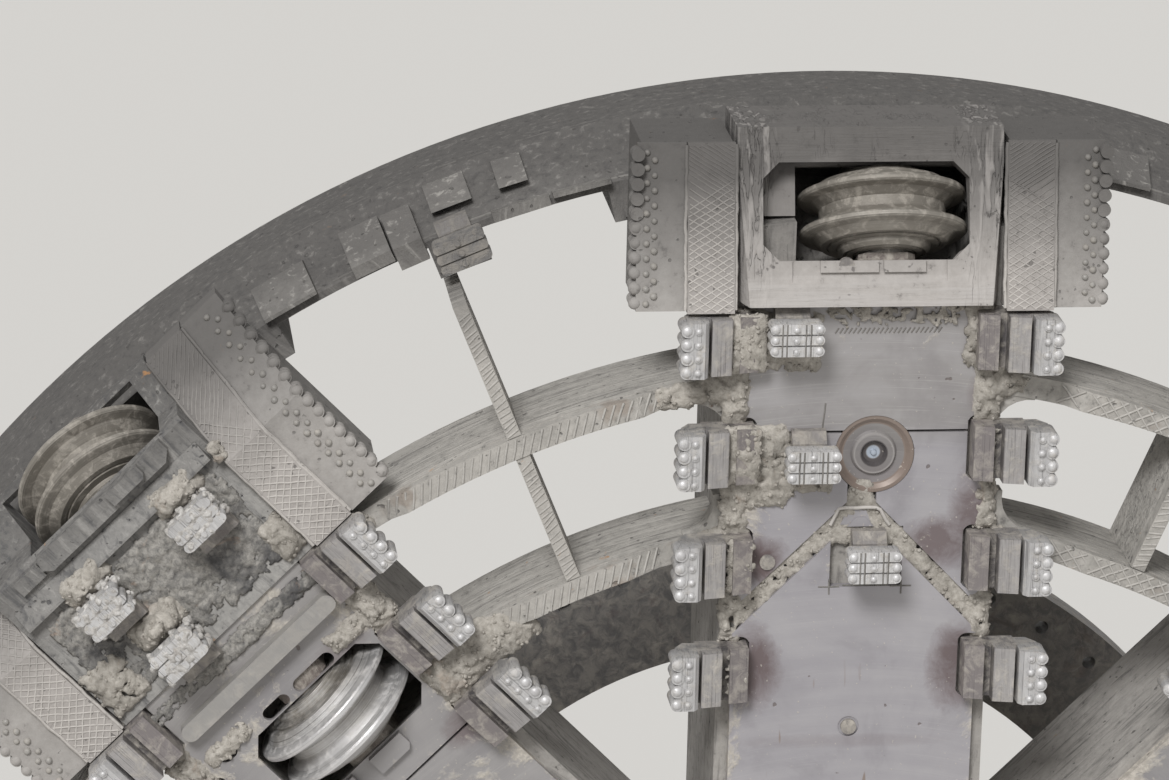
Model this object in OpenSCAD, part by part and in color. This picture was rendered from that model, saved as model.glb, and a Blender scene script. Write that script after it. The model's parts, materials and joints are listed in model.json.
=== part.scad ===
// Cutterhead of a tunnel boring machine: eight spokes, a rim, two inner rings and sixteen twin disc cutters.
// The head's axis lies along Y and its face looks towards -Y. The origin is at the centre of the drive
// flange's rear face, so the whole head lies at negative Y.
// Inside the modules, y = 0 is the plane of the spokes' face plates and y grows into the machine.

/* [Head] */
// Outer radius of the rim
rim_r = 3300; // [3100:10:3500]
// Radial width of the rim beam
rim_w = 240; // [180:10:320]
// Inner radius of the rim between the spokes, where it is slimmer
rim_bay_r = 3160; // [3070:5:3175]
// Depth of the rim's front face behind the face plates
rim_front = 300; // [260:10:360]
// Depth of the rim beam along the axis
rim_depth = 520; // [400:10:700]
// Width of the sloped gauge face along the radius
rim_slope_w = 120; // [60:10:160]
// Depth of the sloped gauge face along the axis
rim_slope_d = 240; // [120:10:320]
// Distance from the face plates to the rear of the drive flange
head_depth = 1550; // [1400:10:1900]

/* [Spokes] */
// Width of a spoke box
spoke_w = 796; // [740:2:810]
// Depth of a spoke box along the axis
spoke_depth = 560; // [480:10:640]
// Distance from the axis to the flat sides of the hub
hub_apothem = 1000; // [985:5:1060]
// Thickness of the face plates
plate_t = 30; // [20:1:40]
// Width of the face plates
plate_w = 720; // [680:2:730]
// Seam between neighbouring face plates
plate_seam = 8; // [4:1:14]

/* [Rings and bars] */
// Clear radial distance between the rim and the middle ring
outer_cell = 426; // [400:2:450]
// Clear radial distance between the two rings
middle_cell = 401; // [380:1:430]
// Radial thickness of both rings
ring_t = 66; // [50:1:80]
// Depth of both rings along the axis
ring_depth = 320; // [300:10:500]
// Step of the rings' front faces behind the face plates
ring_step = 20; // [10:1:40]
// Radius of the gussets between rings and spokes
gusset_r = 105; // [80:5:108]
// Thickness of those gussets
gusset_t = 60; // [40:5:90]
// Height of the wear pads on the rings' fronts
ring_pad_h = 38; // [20:1:50]
// Half length of the middle ring's wear pads, as an angle about the axis
middle_pad_half = 8.1; // [6:0.1:8.6]
// Half length of the inner ring's wear pads, as an angle about the axis
inner_pad_half = 3.9; // [3:0.1:5]
// Width of the radial bars
bar_w = 42; // [30:1:60]
// Depth of the radial bars along the axis
bar_depth = 280; // [200:10:360]

/* [Gauge zone] */
// Radial length of the gauge boxes on the nozzle spokes, inwards from the rim's outer radius
gauge_a_len = 470; // [440:5:500]
// Reach of the gauge boxes beyond the rim's outer radius
gauge_over = 25; // [0:5:40]
// Half width of the gauge boxes at their foot
gauge_half = 383; // [370:1:390]
// Bevel of the gauge boxes' sides
gauge_bevel = 33; // [10:1:50]
// Height of the gauge boxes' lower edge above the face plates
gauge_rise = 75; // [50:5:100]
// How far the gauge bodies of the cutter spokes reach over the middle ring
gauge_b_lap = 22; // [0:1:22]
// Height of those gauge bodies over the spoke box
body_h = 42; // [34:1:50]
// Radial length of the folded gauge zone, inwards from the rim's outer radius
fold_len = 325; // [300:5:350]
// Distance of the gauge frames' outer edge on the cutter spokes from the rim's outer radius
frame_b_in = 135; // [125:1:150]
// Width of a cross-hatched wear strip
strip_w = 136; // [100:2:140]
// Distance from the spoke's centre line to the near edge of a wear strip
strip_x = 392; // [392:1:396]
// Width of a studded gauge plate
stud_plate_w = 140; // [110:2:160]
// Gap between wear strip and studded plate
strip_gap = 4; // [2:1:8]
// Radius of the knuckles along a studded plate
knuckle_r = 19; // [14:1:19]
// Pitch of the knuckles
knuckle_pitch = 43; // [39:1:50]

/* [Scrapers] */
// Length of a scraper along the spoke
scraper_len = 164; // [140:2:168]
// Reach of the scrapers' outer face from the spoke's centre line
scraper_reach = 533; // [520:1:545]
// Height of the scrapers' cutting face above the face plates
scraper_rise = 128; // [110:2:150]
// Distance from one scraper to the next on the nozzle spokes
scraper_pitch_a = 335; // [320:1:340]
// Distance from one scraper to the next on the cutter spokes
scraper_pitch_b = 318; // [310:1:325]
// Number of knuckles along a scraper
scraper_knuckles = 4; // [3:1:5]

/* [Rippers] */
// Width of a ripper head
ripper_w = 156; // [120:2:170]
// Length of a ripper head along the spoke
ripper_len = 96; // [80:2:110]
// Height of a ripper above the face plates
ripper_rise = 145; // [120:5:160]
// Height of a ripper's base above the face plates
ripper_base_h = 46; // [36:1:56]

/* [Twin disc cutters] */
// Diameter of the cutter rings
disc_d = 483; // [460:1:490]
// Spacing between the two rings of one cutter
disc_spacing = 105; // [95:1:115]
// Width of a ring's cutting edge
disc_tip = 20; // [14:1:28]
// Width of a ring at its root
disc_root = 76; // [60:1:80]
// Radius at which a ring meets the hub
disc_root_r = 182; // [160:1:190]
// Length of the cutter hub
disc_hub_len = 236; // [224:2:240]
// Radius of the cutter hub's ends
disc_hub_r = 120; // [119:1:130]
// Radius of the cutter shafts
shaft_r = 68; // [50:1:80]
// Running clearance of a cutter hub on its shaft
shaft_gap = 0.5; // [0.3:0.1:1]
// Running clearance of a cutter to its clamps
disc_side_gap = 8; // [6:1:12]
// Sideways offset of the cutters from the spoke's centre line
cutter_side = 52; // [40:1:56]
// Distance of the gauge cutters on the nozzle spokes from the rim's outer radius
gauge_a_in = 251; // [240:1:260]
// Distance of the gauge cutters on the cutter spokes from the rim's outer radius
gauge_b_in = 168; // [160:1:176]
// Distance of the face cutters from the low edge of the gauge bodies
face_in = 427; // [415:1:435]
// Tilt of the gauge cutters on the nozzle spokes, in degrees
tilt_a = 30; // [25:1:34]
// Tilt of the gauge cutters on the cutter spokes, in degrees
tilt_b = 50; // [46:1:54]

/* [Drive] */
// Outer radius of the drive flange
flange_r = 1650; // [1600:10:1750]
// Inner radius of the drive flange
flange_bore_r = 1250; // [1200:10:1300]
// Thickness of the drive flange
flange_t = 130; // [100:5:160]
// Radius of the flange's bolt circle
flange_pcr = 1560; // [1530:5:1570]
// Number of bolts in the flange
flange_bolts = 48; // [36:12:60]
// Radius of a bolt hole
flange_hole_r = 22; // [18:0.5:26]
// Width of a drive leg
leg_w = 420; // [360:10:480]

/* [Hidden] */
$fn = 72;

seat = 0.3;
rim_inner = rim_r - rim_w;
rim_back = rim_front + rim_depth;
spoke_half = spoke_w / 2;
spoke_back = plate_t + spoke_depth;
plate_half = plate_w / 2;
disc_r = disc_d / 2;
flange_front = head_depth - flange_t;
a_angles = [0, 90, 180, 270];
b_angles = [45, 135, 225, 315];
mid_angles = [22.5 : 45 : 337.5];
middle_r = rim_inner - outer_cell - ring_t;
inner_r = middle_r - middle_cell - ring_t;
gauge_a_low = rim_r - gauge_a_len;
gauge_b_low = middle_r + ring_t - gauge_b_lap;
gauge_top = rim_r + gauge_over;
fold_z = rim_r - fold_len;
frame_b_top = rim_r - frame_b_in;
body_y = plate_t - body_h;
strip_far = strip_x + strip_w;
stud_x = strip_far + strip_gap;
stud_far = stud_x + stud_plate_w;
wing_far = stud_far - 12;
wear_top = gauge_top - 35;
fold_back = rim_front - 10;

// Profile of the cutter spokes' gauge zone as depth and radius: flat, then folded back to the rim.
// It starts at the radius low and stands h proud of the spoke box.
function folded(h, low) = [[plate_t - h, low], [plate_t - h, fold_z], [fold_back - h, wear_top],
  [fold_back, wear_top], [plate_t, fold_z], [plate_t, low]];

// Radii of the scrapers, row by row from the gauge zone inwards
scrapers_a = [for (i = [0 : 3]) gauge_a_low - 113 - i * scraper_pitch_a];
scrapers_b = [for (i = [0 : 2]) gauge_b_low - 84 - i * scraper_pitch_b];

// Ripper places: side offset, radius on the spoke, depth of the surface they stand on, and kind of base
rippers_a = [[-221, gauge_a_low - 78, 0, 0], [-159, gauge_a_low - 458, 0, 0], [28, gauge_a_low - 764, 0, 2]];
rippers_b = [[222, gauge_b_low + 322, body_y, 1], [-147, gauge_b_low + 320, body_y, 1],
  [-92, gauge_b_low + 80, body_y, 1], [120, hub_apothem + 430, 0, 1], [-120, hub_apothem + 220, 0, 1]];
rippers_rim = [[62, rim_inner + 92, rim_front, 0]];

// Cutter places: side offset, depth, radius and tilt
gauge_a = [cutter_side, 112, rim_r - gauge_a_in, tilt_a];
gauge_b = [cutter_side, 195, rim_r - gauge_b_in, tilt_b];
face_c = [cutter_side, 75, gauge_b_low - face_in, 0];
centre_upright = [0, 75, 215, 0];
centre_flat = [0, 75, 470, 0];

clamp_t = 60;
clamp_half = 82;
clamp_rise = 60;

// Half sizes of a cutter pocket: across the disc, along the shaft at the clamps and at the rings, and behind the shaft
pocket_half = disc_r + 18;
ring_axial = disc_hub_len / 2 + disc_side_gap;
pocket_axial = ring_axial + clamp_t + seat;
pocket_back = disc_r + 24;

// Window over a cutter in a flat plate: half width, reach to both sides along the shaft and corner cut
window_half = disc_r + 5;
window_low = 150;
window_corner = 50;

module head() translate([0, -head_depth, 0]) children();

module at_angles(angles) for (a = angles) rotate([0, a, 0]) children();

module both_sides() {
  children();
  mirror([1, 0, 0]) children();
}

// A ring about the head's axis from points of radius and depth
module ring_of(points) rotate([-90, 0, 0]) rotate_extrude($fn = 180) polygon(points);

// A disc of the head from y1 to y2
module axial_disc(r, y1, y2, fn = 72) translate([0, y1, 0]) rotate([-90, 0, 0]) cylinder(r = r, h = y2 - y1, $fn = fn);

// A prism across the spoke from points of depth and radius
module across(points, x1, x2) translate([x1, 0, 0]) multmatrix([[0, 0, 1, 0], [1, 0, 0, 0], [0, 1, 0, 0]])
  linear_extrude(x2 - x1) polygon(points);

// A prism along the depth from points of side offset and radius
module along_depth(y1, y2) translate([0, y2, 0]) rotate([90, 0, 0]) linear_extrude(y2 - y1) children();

// A prism along the radius from points of side offset and depth
module along_radius(points, z1, z2) translate([0, 0, z1]) linear_extrude(z2 - z1) polygon(points);

// Puts its children in a cutter's own frame: shaft along Z, cutting side towards -Y
module at_cutter(place) translate([place[0], place[1], place[2]]) rotate([-place[3], 0, 0]) children();

// The space of a cutter's clamps, closed to the front
module clamp_pocket() translate([-pocket_half, -clamp_rise - seat, -pocket_axial])
  cube([2 * pocket_half, clamp_rise + seat + pocket_back, 2 * pocket_axial]);

// The space a cutter and its clamps need, open to the front between the clamps
module cutter_pocket(front = 420) {
  clamp_pocket();
  translate([-pocket_half, -front, -ring_axial]) cube([2 * pocket_half, front + pocket_back, 2 * ring_axial]);
}

// The window for a cutter and the space of its clamps, cut from a flat face plate
module plate_window(low = ring_axial) {
  clamp_pocket();
  along_depth(-400, 0) polygon([[-window_half, window_corner - low], [window_corner - window_half, -low],
    [window_half - window_corner, -low], [window_half, window_corner - low], [window_half, ring_axial - window_corner],
    [window_half - window_corner, ring_axial], [window_corner - window_half, ring_axial],
    [-window_half, ring_axial - window_corner]]);
}

rim_bay_half = 9.4;
rim_bracket = [-28, 130];

// What is cut from the rim between two spokes; a bracket for the radial bar and the ripper stays
module rim_bay() difference() {
  intersection() {
    circle(rim_bay_r, $fn = 180);
    polygon([[0, 0], [-rim_r * tan(rim_bay_half), rim_r], [rim_r * tan(rim_bay_half), rim_r]]);
  }
  translate([rim_bracket[0], 0]) square([rim_bracket[1] - rim_bracket[0], rim_r]);
}

module rim_ring() color("#6f6a62") head() difference() {
  ring_of([[rim_inner, rim_front], [rim_r - rim_slope_w, rim_front], [rim_r, rim_front + rim_slope_d],
    [rim_r, rim_back], [rim_inner, rim_back]]);
  at_angles(mid_angles) along_depth(rim_front - 1, rim_back + 1) rim_bay();
  at_angles(a_angles) at_cutter(gauge_a) cutter_pocket();
  at_angles(b_angles) at_cutter(gauge_b) cutter_pocket();
}

// Wear blocks on the rim: angle from the bay's middle, half width, distance of the inner edge from the bay's
// inner radius, height, and whether the block is bent over the sloped gauge face
rim_blocks = [[-8.25, 86, 22, 30, 1], [-3.4, 62, 14, 58, 1], [-1.4, 44, -22, 52, 1], [4.75, 86, 4, 40, 0],
  [8.05, 86, 20, 36, 0]];
// Blocks on the sloped gauge face: angle from the bay's middle and half width
slope_blocks = [[1.4, 62], [4.75, 44]];
slope_block_h = 46;
slope_block_from = 0.4;
slope_block_to = 0.86;

function on_slope(t) = [rim_front + t * rim_slope_d, rim_r - (1 - t) * rim_slope_w];

block_bevel = 6;
slope_len = sqrt(rim_slope_w * rim_slope_w + rim_slope_d * rim_slope_d);
slope_out = [-rim_slope_w, rim_slope_d] / slope_len;

// Radius at which a surface h above the rim's front meets one h above its slope
function fold_r(h) = rim_r - rim_slope_w + h * (slope_len - rim_slope_w) / rim_slope_d;

// Section of a wear block as depth and radius
function block_section(b) = concat([[rim_front, rim_bay_r + b[2]], [rim_front - b[3], rim_bay_r + b[2] + block_bevel]],
  [[rim_front - b[3], fold_r(b[3])]], b[4] == 1 ? [on_slope(0.46) + b[3] * slope_out, on_slope(0.58)] : [on_slope(0.1)],
  [on_slope(0)]);

// Wear blocks on the rim's front and on its sloped gauge face
module rim_wear_blocks() color("#7b756b") head() at_angles(mid_angles) {
  for (b = rim_blocks) rotate([0, b[0], 0]) across(block_section(b), -b[1], b[1]);
  for (b = slope_blocks) rotate([0, b[0], 0])
    across([on_slope(slope_block_from), on_slope(slope_block_from) + [-slope_block_h, 10],
      on_slope(slope_block_to) + [-slope_block_h, 10], on_slope(slope_block_to)], -b[1], b[1]);
}

module spoke_blank() intersection() {
  translate([-spoke_half, plate_t, hub_apothem]) cube([spoke_w, spoke_depth, rim_inner - hub_apothem]);
  axial_disc(rim_inner - seat, 0, spoke_back, 180);
}

module spokes_a() color("#77726a") head() at_angles(a_angles) difference() {
  spoke_blank();
  at_cutter(gauge_a) cutter_pocket();
}

// The space in front of the folded gauge zone, beside the gauge bodies
module above_fold() both_sides() across([[plate_t, fold_z], [fold_back, wear_top], [0, wear_top], [0, fold_z]],
  gauge_half + seat, 2 * spoke_half);

module spokes_b() color("#77726a") head() at_angles(b_angles) difference() {
  spoke_blank();
  above_fold();
  at_cutter(gauge_b) cutter_pocket();
  at_cutter(face_c) cutter_pocket();
}

module octagon() intersection() {
  square(2 * hub_apothem, center = true);
  rotate(45) square(2 * hub_apothem, center = true);
}

module centre_pockets() {
  at_angles([0, 180]) at_cutter(centre_upright) cutter_pocket();
  at_angles([90, 270]) at_cutter(centre_flat) cutter_pocket();
}

module hub_box() color("#6d675f") head() difference() {
  along_depth(plate_t, spoke_back) octagon();
  centre_pockets();
}

module hub_cover() color("#8d8795") head() difference() {
  along_depth(0, plate_t) octagon();
  at_angles([0, 180]) at_cutter(centre_upright) plate_window();
  at_angles([90, 270]) at_cutter(centre_flat) plate_window();
}

module spoke_slots() at_angles([0 : 45 : 315])
  translate([-spoke_half, 0, 0]) cube([spoke_w, spoke_back, rim_r]);

gusset_root = 30;
gusset_step = 4;
gusset_toe = 6;
gusset_far = gusset_r + gusset_toe;
gusset_steps = 6;

// Concave outline of a gusset in the corner between a spoke's side and a ring's face; side is 1 outside the ring
function gusset_outline(side) = concat([[-gusset_root, -side * gusset_root], [gusset_far, -side * gusset_root]],
  [for (i = [0 : gusset_steps]) let (a = 90 * i / gusset_steps)
    [gusset_far - gusset_r * sin(a), side * (gusset_far - gusset_r * cos(a))]],
  [[-gusset_root, side * gusset_far]]);

module ring_gusset(r, side) translate([spoke_half, sqrt(r * r - spoke_half * spoke_half)])
  rotate(-asin(spoke_half / r)) polygon(gusset_outline(side));

module ring_gussets(angles, r, side) at_angles(angles) both_sides()
  along_depth(ring_step + gusset_step, ring_step + gusset_t) ring_gusset(r, side);

module ring_blank(r) ring_of([[r, ring_step], [r + ring_t, ring_step], [r + ring_t, ring_step + ring_depth],
  [r, ring_step + ring_depth]]);

pad_inset = 2;
pad_root = 10;
middle_pad_ramp = 66;
inner_pad_ramp = 110;

// Wear pads with sloped ends, halfway between the spokes
module ring_pads(r, half, ramp) intersection() {
  ring_of([[r + pad_inset, ring_step - ring_pad_h], [r + ring_t - pad_inset, ring_step - ring_pad_h],
    [r + ring_t - pad_inset, ring_step + pad_root], [r + pad_inset, ring_step + pad_root]]);
  at_angles(mid_angles) along_radius([[-r * sin(half) - ramp, ring_step], [-r * sin(half), ring_step - ring_pad_h],
    [r * sin(half), ring_step - ring_pad_h], [r * sin(half) + ramp, ring_step],
    [r * sin(half) + ramp, ring_step + pad_root], [-r * sin(half) - ramp, ring_step + pad_root]], 0, r + 2 * ring_t);
}

module middle_ring() color("#8b857a") head() difference() {
  union() {
    ring_blank(middle_r);
    ring_pads(middle_r, middle_pad_half, middle_pad_ramp);
    ring_gussets(a_angles, middle_r + ring_t, 1);
    ring_gussets(concat(a_angles, b_angles), middle_r, -1);
  }
  spoke_slots();
}

module inner_ring() color("#8b857a") head() difference() {
  union() {
    ring_blank(inner_r);
    ring_pads(inner_r, inner_pad_half, inner_pad_ramp);
    ring_gussets(concat(a_angles, b_angles), inner_r + ring_t, 1);
    ring_gussets(concat(a_angles, b_angles), inner_r, -1);
  }
  spoke_slots();
}

bar_front = ring_step - ring_pad_h + 4;
bar_back = ring_step + bar_depth;

// One radial bar, its ends rounded to the rings it stands between
module radial_bar(r1, r2) difference() {
  intersection() {
    translate([-bar_w / 2, bar_front, 0]) cube([bar_w, bar_back - bar_front, r2]);
    axial_disc(r2 - seat, bar_front - 1, bar_back + 1, 180);
  }
  axial_disc(r1 + seat, bar_front - 1, bar_back + 1, 180);
}

module radial_bars() color("#8b857a") head() at_angles(mid_angles) {
  radial_bar(middle_r + ring_t, rim_inner);
  radial_bar(inner_r + ring_t, middle_r);
}

gauge_y_top = 55;
gauge_tilt = atan((gauge_y_top + gauge_rise) / (gauge_top - gauge_a_low));
recess_low = gauge_a_low + 64;
recess_high = gauge_a_low + 200;
recess_bevel = 21;
recess_deep = 8;
keeper_low = recess_low + 32;
keeper_high = recess_low + 90;
keepers = [[-148, 168], [35, 121]];

// Depth of the gauge box's front face at a radius
function gauge_y(z) = (z - gauge_a_low) * tan(gauge_tilt) - gauge_rise;

// Gauge box of a nozzle spoke: bevelled frame, eight-sided window over the tilted cutter, and below the window
// a recess with the two keeper blocks
module gauge_boxes_a() color("#8d877c") head() at_angles(a_angles) {
  difference() {
    intersection() {
      across([[-gauge_rise, gauge_a_low], [gauge_y_top, gauge_top], [rim_front, gauge_top],
        [rim_front, rim_inner + seat], [plate_t, rim_inner + seat], [plate_t, gauge_a_low]], -gauge_half, gauge_half);
      along_radius([[-gauge_half, rim_front], [-gauge_half, plate_t], [gauge_bevel - gauge_half, -gauge_rise],
        [gauge_half - gauge_bevel, -gauge_rise], [gauge_half, plate_t], [gauge_half, rim_front]],
        gauge_a_low, gauge_top);
    }
    at_cutter(gauge_a) cutter_pocket(92);
    window_a();
    across([[gauge_y(recess_low) - 1, recess_low],
      [gauge_y(recess_low + recess_bevel) + recess_deep, recess_low + recess_bevel],
      [gauge_y(recess_high) + recess_deep, recess_high], [gauge_y(recess_high) - 60, recess_high],
      [gauge_y(recess_low) - 60, recess_low]], -228, 218);
  }
  difference() {
    for (keeper = keepers)
      across([[gauge_y(keeper_low) + recess_deep, keeper_low], [gauge_y(keeper_low) - 4, keeper_low],
        [gauge_y(keeper_high) - 4, keeper_high], [gauge_y(keeper_high) + recess_deep, keeper_high]],
        keeper[0], keeper[0] + keeper[1]);
    window_a();
  }
}

window_a_half = 297;
window_a_low = 128;
window_a_high = 152;
window_a_corner = 46;
window_a_side = -14;
window_a_start = 46;

// Window of a gauge box, half as much tilted as its cutter
module window_a() at_cutter([window_a_side, gauge_a[1], gauge_a[2], gauge_a[3] / 2])
  along_depth(-400, -window_a_start) polygon([[-window_a_half, window_a_corner - window_a_low],
    [window_a_corner - window_a_half, -window_a_low], [window_a_half - window_a_corner, -window_a_low],
    [window_a_half, window_a_corner - window_a_low], [window_a_half, window_a_high - window_a_corner],
    [window_a_half - window_a_corner, window_a_high], [window_a_corner - window_a_half, window_a_high],
    [-window_a_half, window_a_high - window_a_corner]]);

frame_bar = [frame_b_top - 65, frame_b_top - 5];
band_low = frame_b_top - 155;

// Gauge body of a cutter spoke: flat with a raised frame bar and a smooth sloping band up to the cutter, and
// folded back beside the cutter
module gauge_boxes_b() color("#8d877c") head() at_angles(b_angles) {
  difference() {
    across([[plate_t, gauge_b_low], [body_y, gauge_b_low], [body_y, frame_b_top - 14], [body_y + 14, frame_b_top],
      [body_y + fold_drop(frame_b_top), frame_b_top], [fold_back - body_h, wear_top], [rim_front, wear_top],
      [rim_front, rim_inner + seat], [plate_t, rim_inner + seat]], -gauge_half, gauge_half);
    at_cutter(gauge_b) cutter_pocket();
  }
  along_depth(body_y - 34, body_y) polygon([[-206, frame_bar[0] + 22], [-180, frame_bar[0]], [270, frame_bar[0]],
    [300, frame_bar[0] + 26], [300, frame_bar[1]], [-192, frame_bar[1]]]);
  along_depth(body_y - 58, body_y - 34) polygon([[82, frame_bar[1] - 42], [196, frame_bar[1] - 42],
    [208, frame_bar[1] - 30], [208, frame_bar[1]], [82, frame_bar[1]]]);
  along_depth(body_y - 16, body_y) translate([-300, frame_bar[0]]) square([92, 44]);
  across([[body_y, band_low], [body_y - 34, band_low + 6], [body_y - 34, band_low + 14], [body_y - 4, band_low + 68],
    [body_y, band_low + 68]], 20 - gauge_half, gauge_half - 20);
}

// Wings carry the wear strips and studded plates between spoke side and rim
module wing(low) translate([spoke_half, plate_t, low])
  cube([wing_far - spoke_half, rim_front - plate_t, wear_top - low]);

module gauge_wings() color("#6f6a62") head() {
  at_angles(a_angles) both_sides() wing(gauge_a_low - 30);
  at_angles(b_angles) difference() {
    both_sides() wing(gauge_b_low + gauge_b_lap);
    above_fold();
  }
}

// Profile of the nozzle spokes' wear plates: a wedge that stands h proud at its lower edge
function wedge(h) = [[plate_t - h, strip_a_low], [plate_t - 12, wear_top], [plate_t, wear_top],
  [plate_t, strip_a_low]];

strip_a_low = gauge_a_low - 18;
strip_b_low = gauge_b_low + 3;
strip_h = 100;
strip_h_b = 76;
stud_h = 70;
stud_h_b = 60;

module lattice_strips() color("#97907f") head() {
  at_angles(a_angles) both_sides() across(wedge(strip_h), strip_x, strip_far);
  at_angles(b_angles) both_sides() across(folded(strip_h_b, strip_b_low), strip_x, strip_far);
}

// How far the folded gauge zone lies behind the spoke's front at a radius
function fold_drop(z) = z < fold_z ? 0 : (z - fold_z) * (fold_back - plate_t) / (wear_top - fold_z);

// A studded plate with its row of knuckles along the outer edge
module stud_plate_a() {
  across(wedge(stud_h), stud_x, stud_far);
  for (z = [strip_a_low + knuckle_pitch / 2 : knuckle_pitch : wear_top - knuckle_pitch / 2])
    translate([stud_far, plate_t, z]) rotate([90, 0, 0]) cylinder(r = knuckle_r, h = 44);
}

module stud_plate_b() {
  across(folded(stud_h_b, strip_b_low), stud_x, stud_far);
  for (z = [strip_b_low + knuckle_pitch / 2 : knuckle_pitch : wear_top - knuckle_pitch / 2])
    translate([stud_far, plate_t + fold_drop(z) - fold_drop(fold_z + 1.2 * knuckle_r), z]) rotate([90, 0, 0])
      cylinder(r = knuckle_r, h = 40);
}

module stud_plates() color("#9a9486") head() {
  at_angles(a_angles) both_sides() stud_plate_a();
  at_angles(b_angles) both_sides() stud_plate_b();
}

// Scraper section across the spoke: inner face, first groove, body, second groove
holder_in = 318;
groove_in = 374;
groove_out = 399;
body_out = 459;
blade_in = 470;

module scraper_holder(z) translate([0, 0, z - scraper_len / 2]) linear_extrude(scraper_len)
  polygon([[holder_in, plate_t], [holder_in, -62], [groove_in, -74], [groove_in, -40], [groove_out, -44],
    [groove_out, -92], [body_out, -104], [body_out, -60], [blade_in, -60], [blade_in, ring_step - 5],
    [spoke_half, ring_step - 5], [spoke_half, plate_t]]);

module on_all_scraper_places() {
  at_angles(a_angles) both_sides() for (z = scrapers_a) let ($row = z) children();
  at_angles(b_angles) both_sides() for (z = scrapers_b) let ($row = z) children();
}

module scraper_holders() color("#5c534c") head() on_all_scraper_places() scraper_holder($row);

button_r = 11;
button_h = 6;
button_x = 502;

// A scraper's tooth block with its knuckles and the button behind each
module scraper_blade(z) translate([0, 0, z - scraper_len / 2]) {
  linear_extrude(scraper_len) polygon([[blade_in, 0], [blade_in, -112], [blade_in + 12, -scraper_rise],
    [scraper_reach, -scraper_rise], [scraper_reach, -40], [scraper_reach - 26, 0]]);
  for (i = [0 : scraper_knuckles - 1]) translate([0, 0, (i + 0.5) * scraper_len / scraper_knuckles]) {
    translate([scraper_reach, -44, 0]) rotate([90, 0, 0]) cylinder(r = knuckle_r, h = scraper_rise - 40);
    translate([button_x, -scraper_rise, 0]) rotate([90, 0, 0]) cylinder(r = button_r, h = button_h);
  }
}

module scraper_blades() color("#8f8b84") head() on_all_scraper_places() scraper_blade($row);

ripper_foot = 50;
ledge_h = 42;

// A ripper's base; p[3] is 1 for a ledge in front of it and 2 where it goes through the face plate to the spoke box
module ripper_base(p) translate([p[0], p[2], p[1]]) {
  across([[-ripper_base_h, -40], [-ripper_base_h, 40], [-24, 72], [p[3] == 2 ? plate_t : 0, 74],
    [p[3] == 2 ? plate_t : 0, -58]], -ripper_foot, ripper_foot);
  if (p[3] == 1) across([[0, -116], [-ledge_h, -108], [-ledge_h, -64], [-30, -50], [0, -50]],
    -ripper_foot - 14, ripper_foot + 14);
}

ripper_knuckle_r = 15;
ripper_groove = 5;

// A ripper head: three rows, each with a knuckle at both ends and a button in the middle
module ripper_head(p) translate([p[0], p[2] - ripper_base_h, p[1]]) difference() {
  union() {
    across([[0, -34], [-40, -ripper_len / 2], [ripper_base_h - ripper_rise, -ripper_len / 2],
      [ripper_base_h - ripper_rise, ripper_len / 2], [-40, ripper_len / 2], [0, 34]],
      ripper_knuckle_r - ripper_w / 2, ripper_w / 2 - ripper_knuckle_r);
    for (row = [-1, 0, 1]) translate([0, 0, row * ripper_len / 3]) {
      for (side = [-1, 1]) translate([side * (ripper_w / 2 - ripper_knuckle_r), -34, 0]) rotate([90, 0, 0])
        cylinder(r = ripper_knuckle_r, h = ripper_rise - ripper_base_h - 34);
      translate([-4, ripper_base_h - ripper_rise, 0]) rotate([90, 0, 0]) cylinder(r = 9, h = button_h);
    }
  }
  for (side = [-1, 1]) translate([-ripper_w, ripper_base_h - ripper_rise - 1, side * ripper_len / 6 - ripper_groove / 2])
    cube([2 * ripper_w, 9, ripper_groove]);
}

module on_all_ripper_places() {
  at_angles(a_angles) for (p = rippers_a) let ($place = p) children();
  at_angles(b_angles) for (p = rippers_b) let ($place = p) children();
  at_angles(mid_angles) for (p = rippers_rim) let ($place = p) children();
}

module ripper_bases() color("#6a635b") head() on_all_ripper_places() ripper_base($place);

module ripper_heads() color("#a29c90") head() on_all_ripper_places() ripper_head($place);

// Nozzle, neck and foam channels of a nozzle spoke
nozzle_z = gauge_a_low - 466;
nozzle_x = 38;
dish_r = 116;
neck_x = 6;
neck_w = 86;
channel_w = 39;
channel_top = nozzle_z - 102;
channel_low = nozzle_z - 506;
upper_low = nozzle_z + 73;

// Notches round the scrapers' seats, with rounded corners
module scraper_notches(rows) both_sides() for (z = rows) translate([holder_in - 10, z]) {
  translate([0, -scraper_len / 2]) square([200, scraper_len]);
  translate([26, -scraper_len / 2 - 16]) square([200, scraper_len + 32]);
  for (side = [-1, 1]) translate([26, side * (scraper_len / 2 - 10)]) circle(26);
}

module foam_channels() {
  translate([neck_x - neck_w / 2, channel_top - 90]) square([neck_w, 130]);
  for (side = [-1, 1]) polygon([[neck_x, channel_top], [side * (plate_half + 1), channel_low + channel_w],
    [side * (plate_half + 1), channel_low - channel_w], [neck_x, channel_top - 2 * channel_w]]);
}

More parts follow.
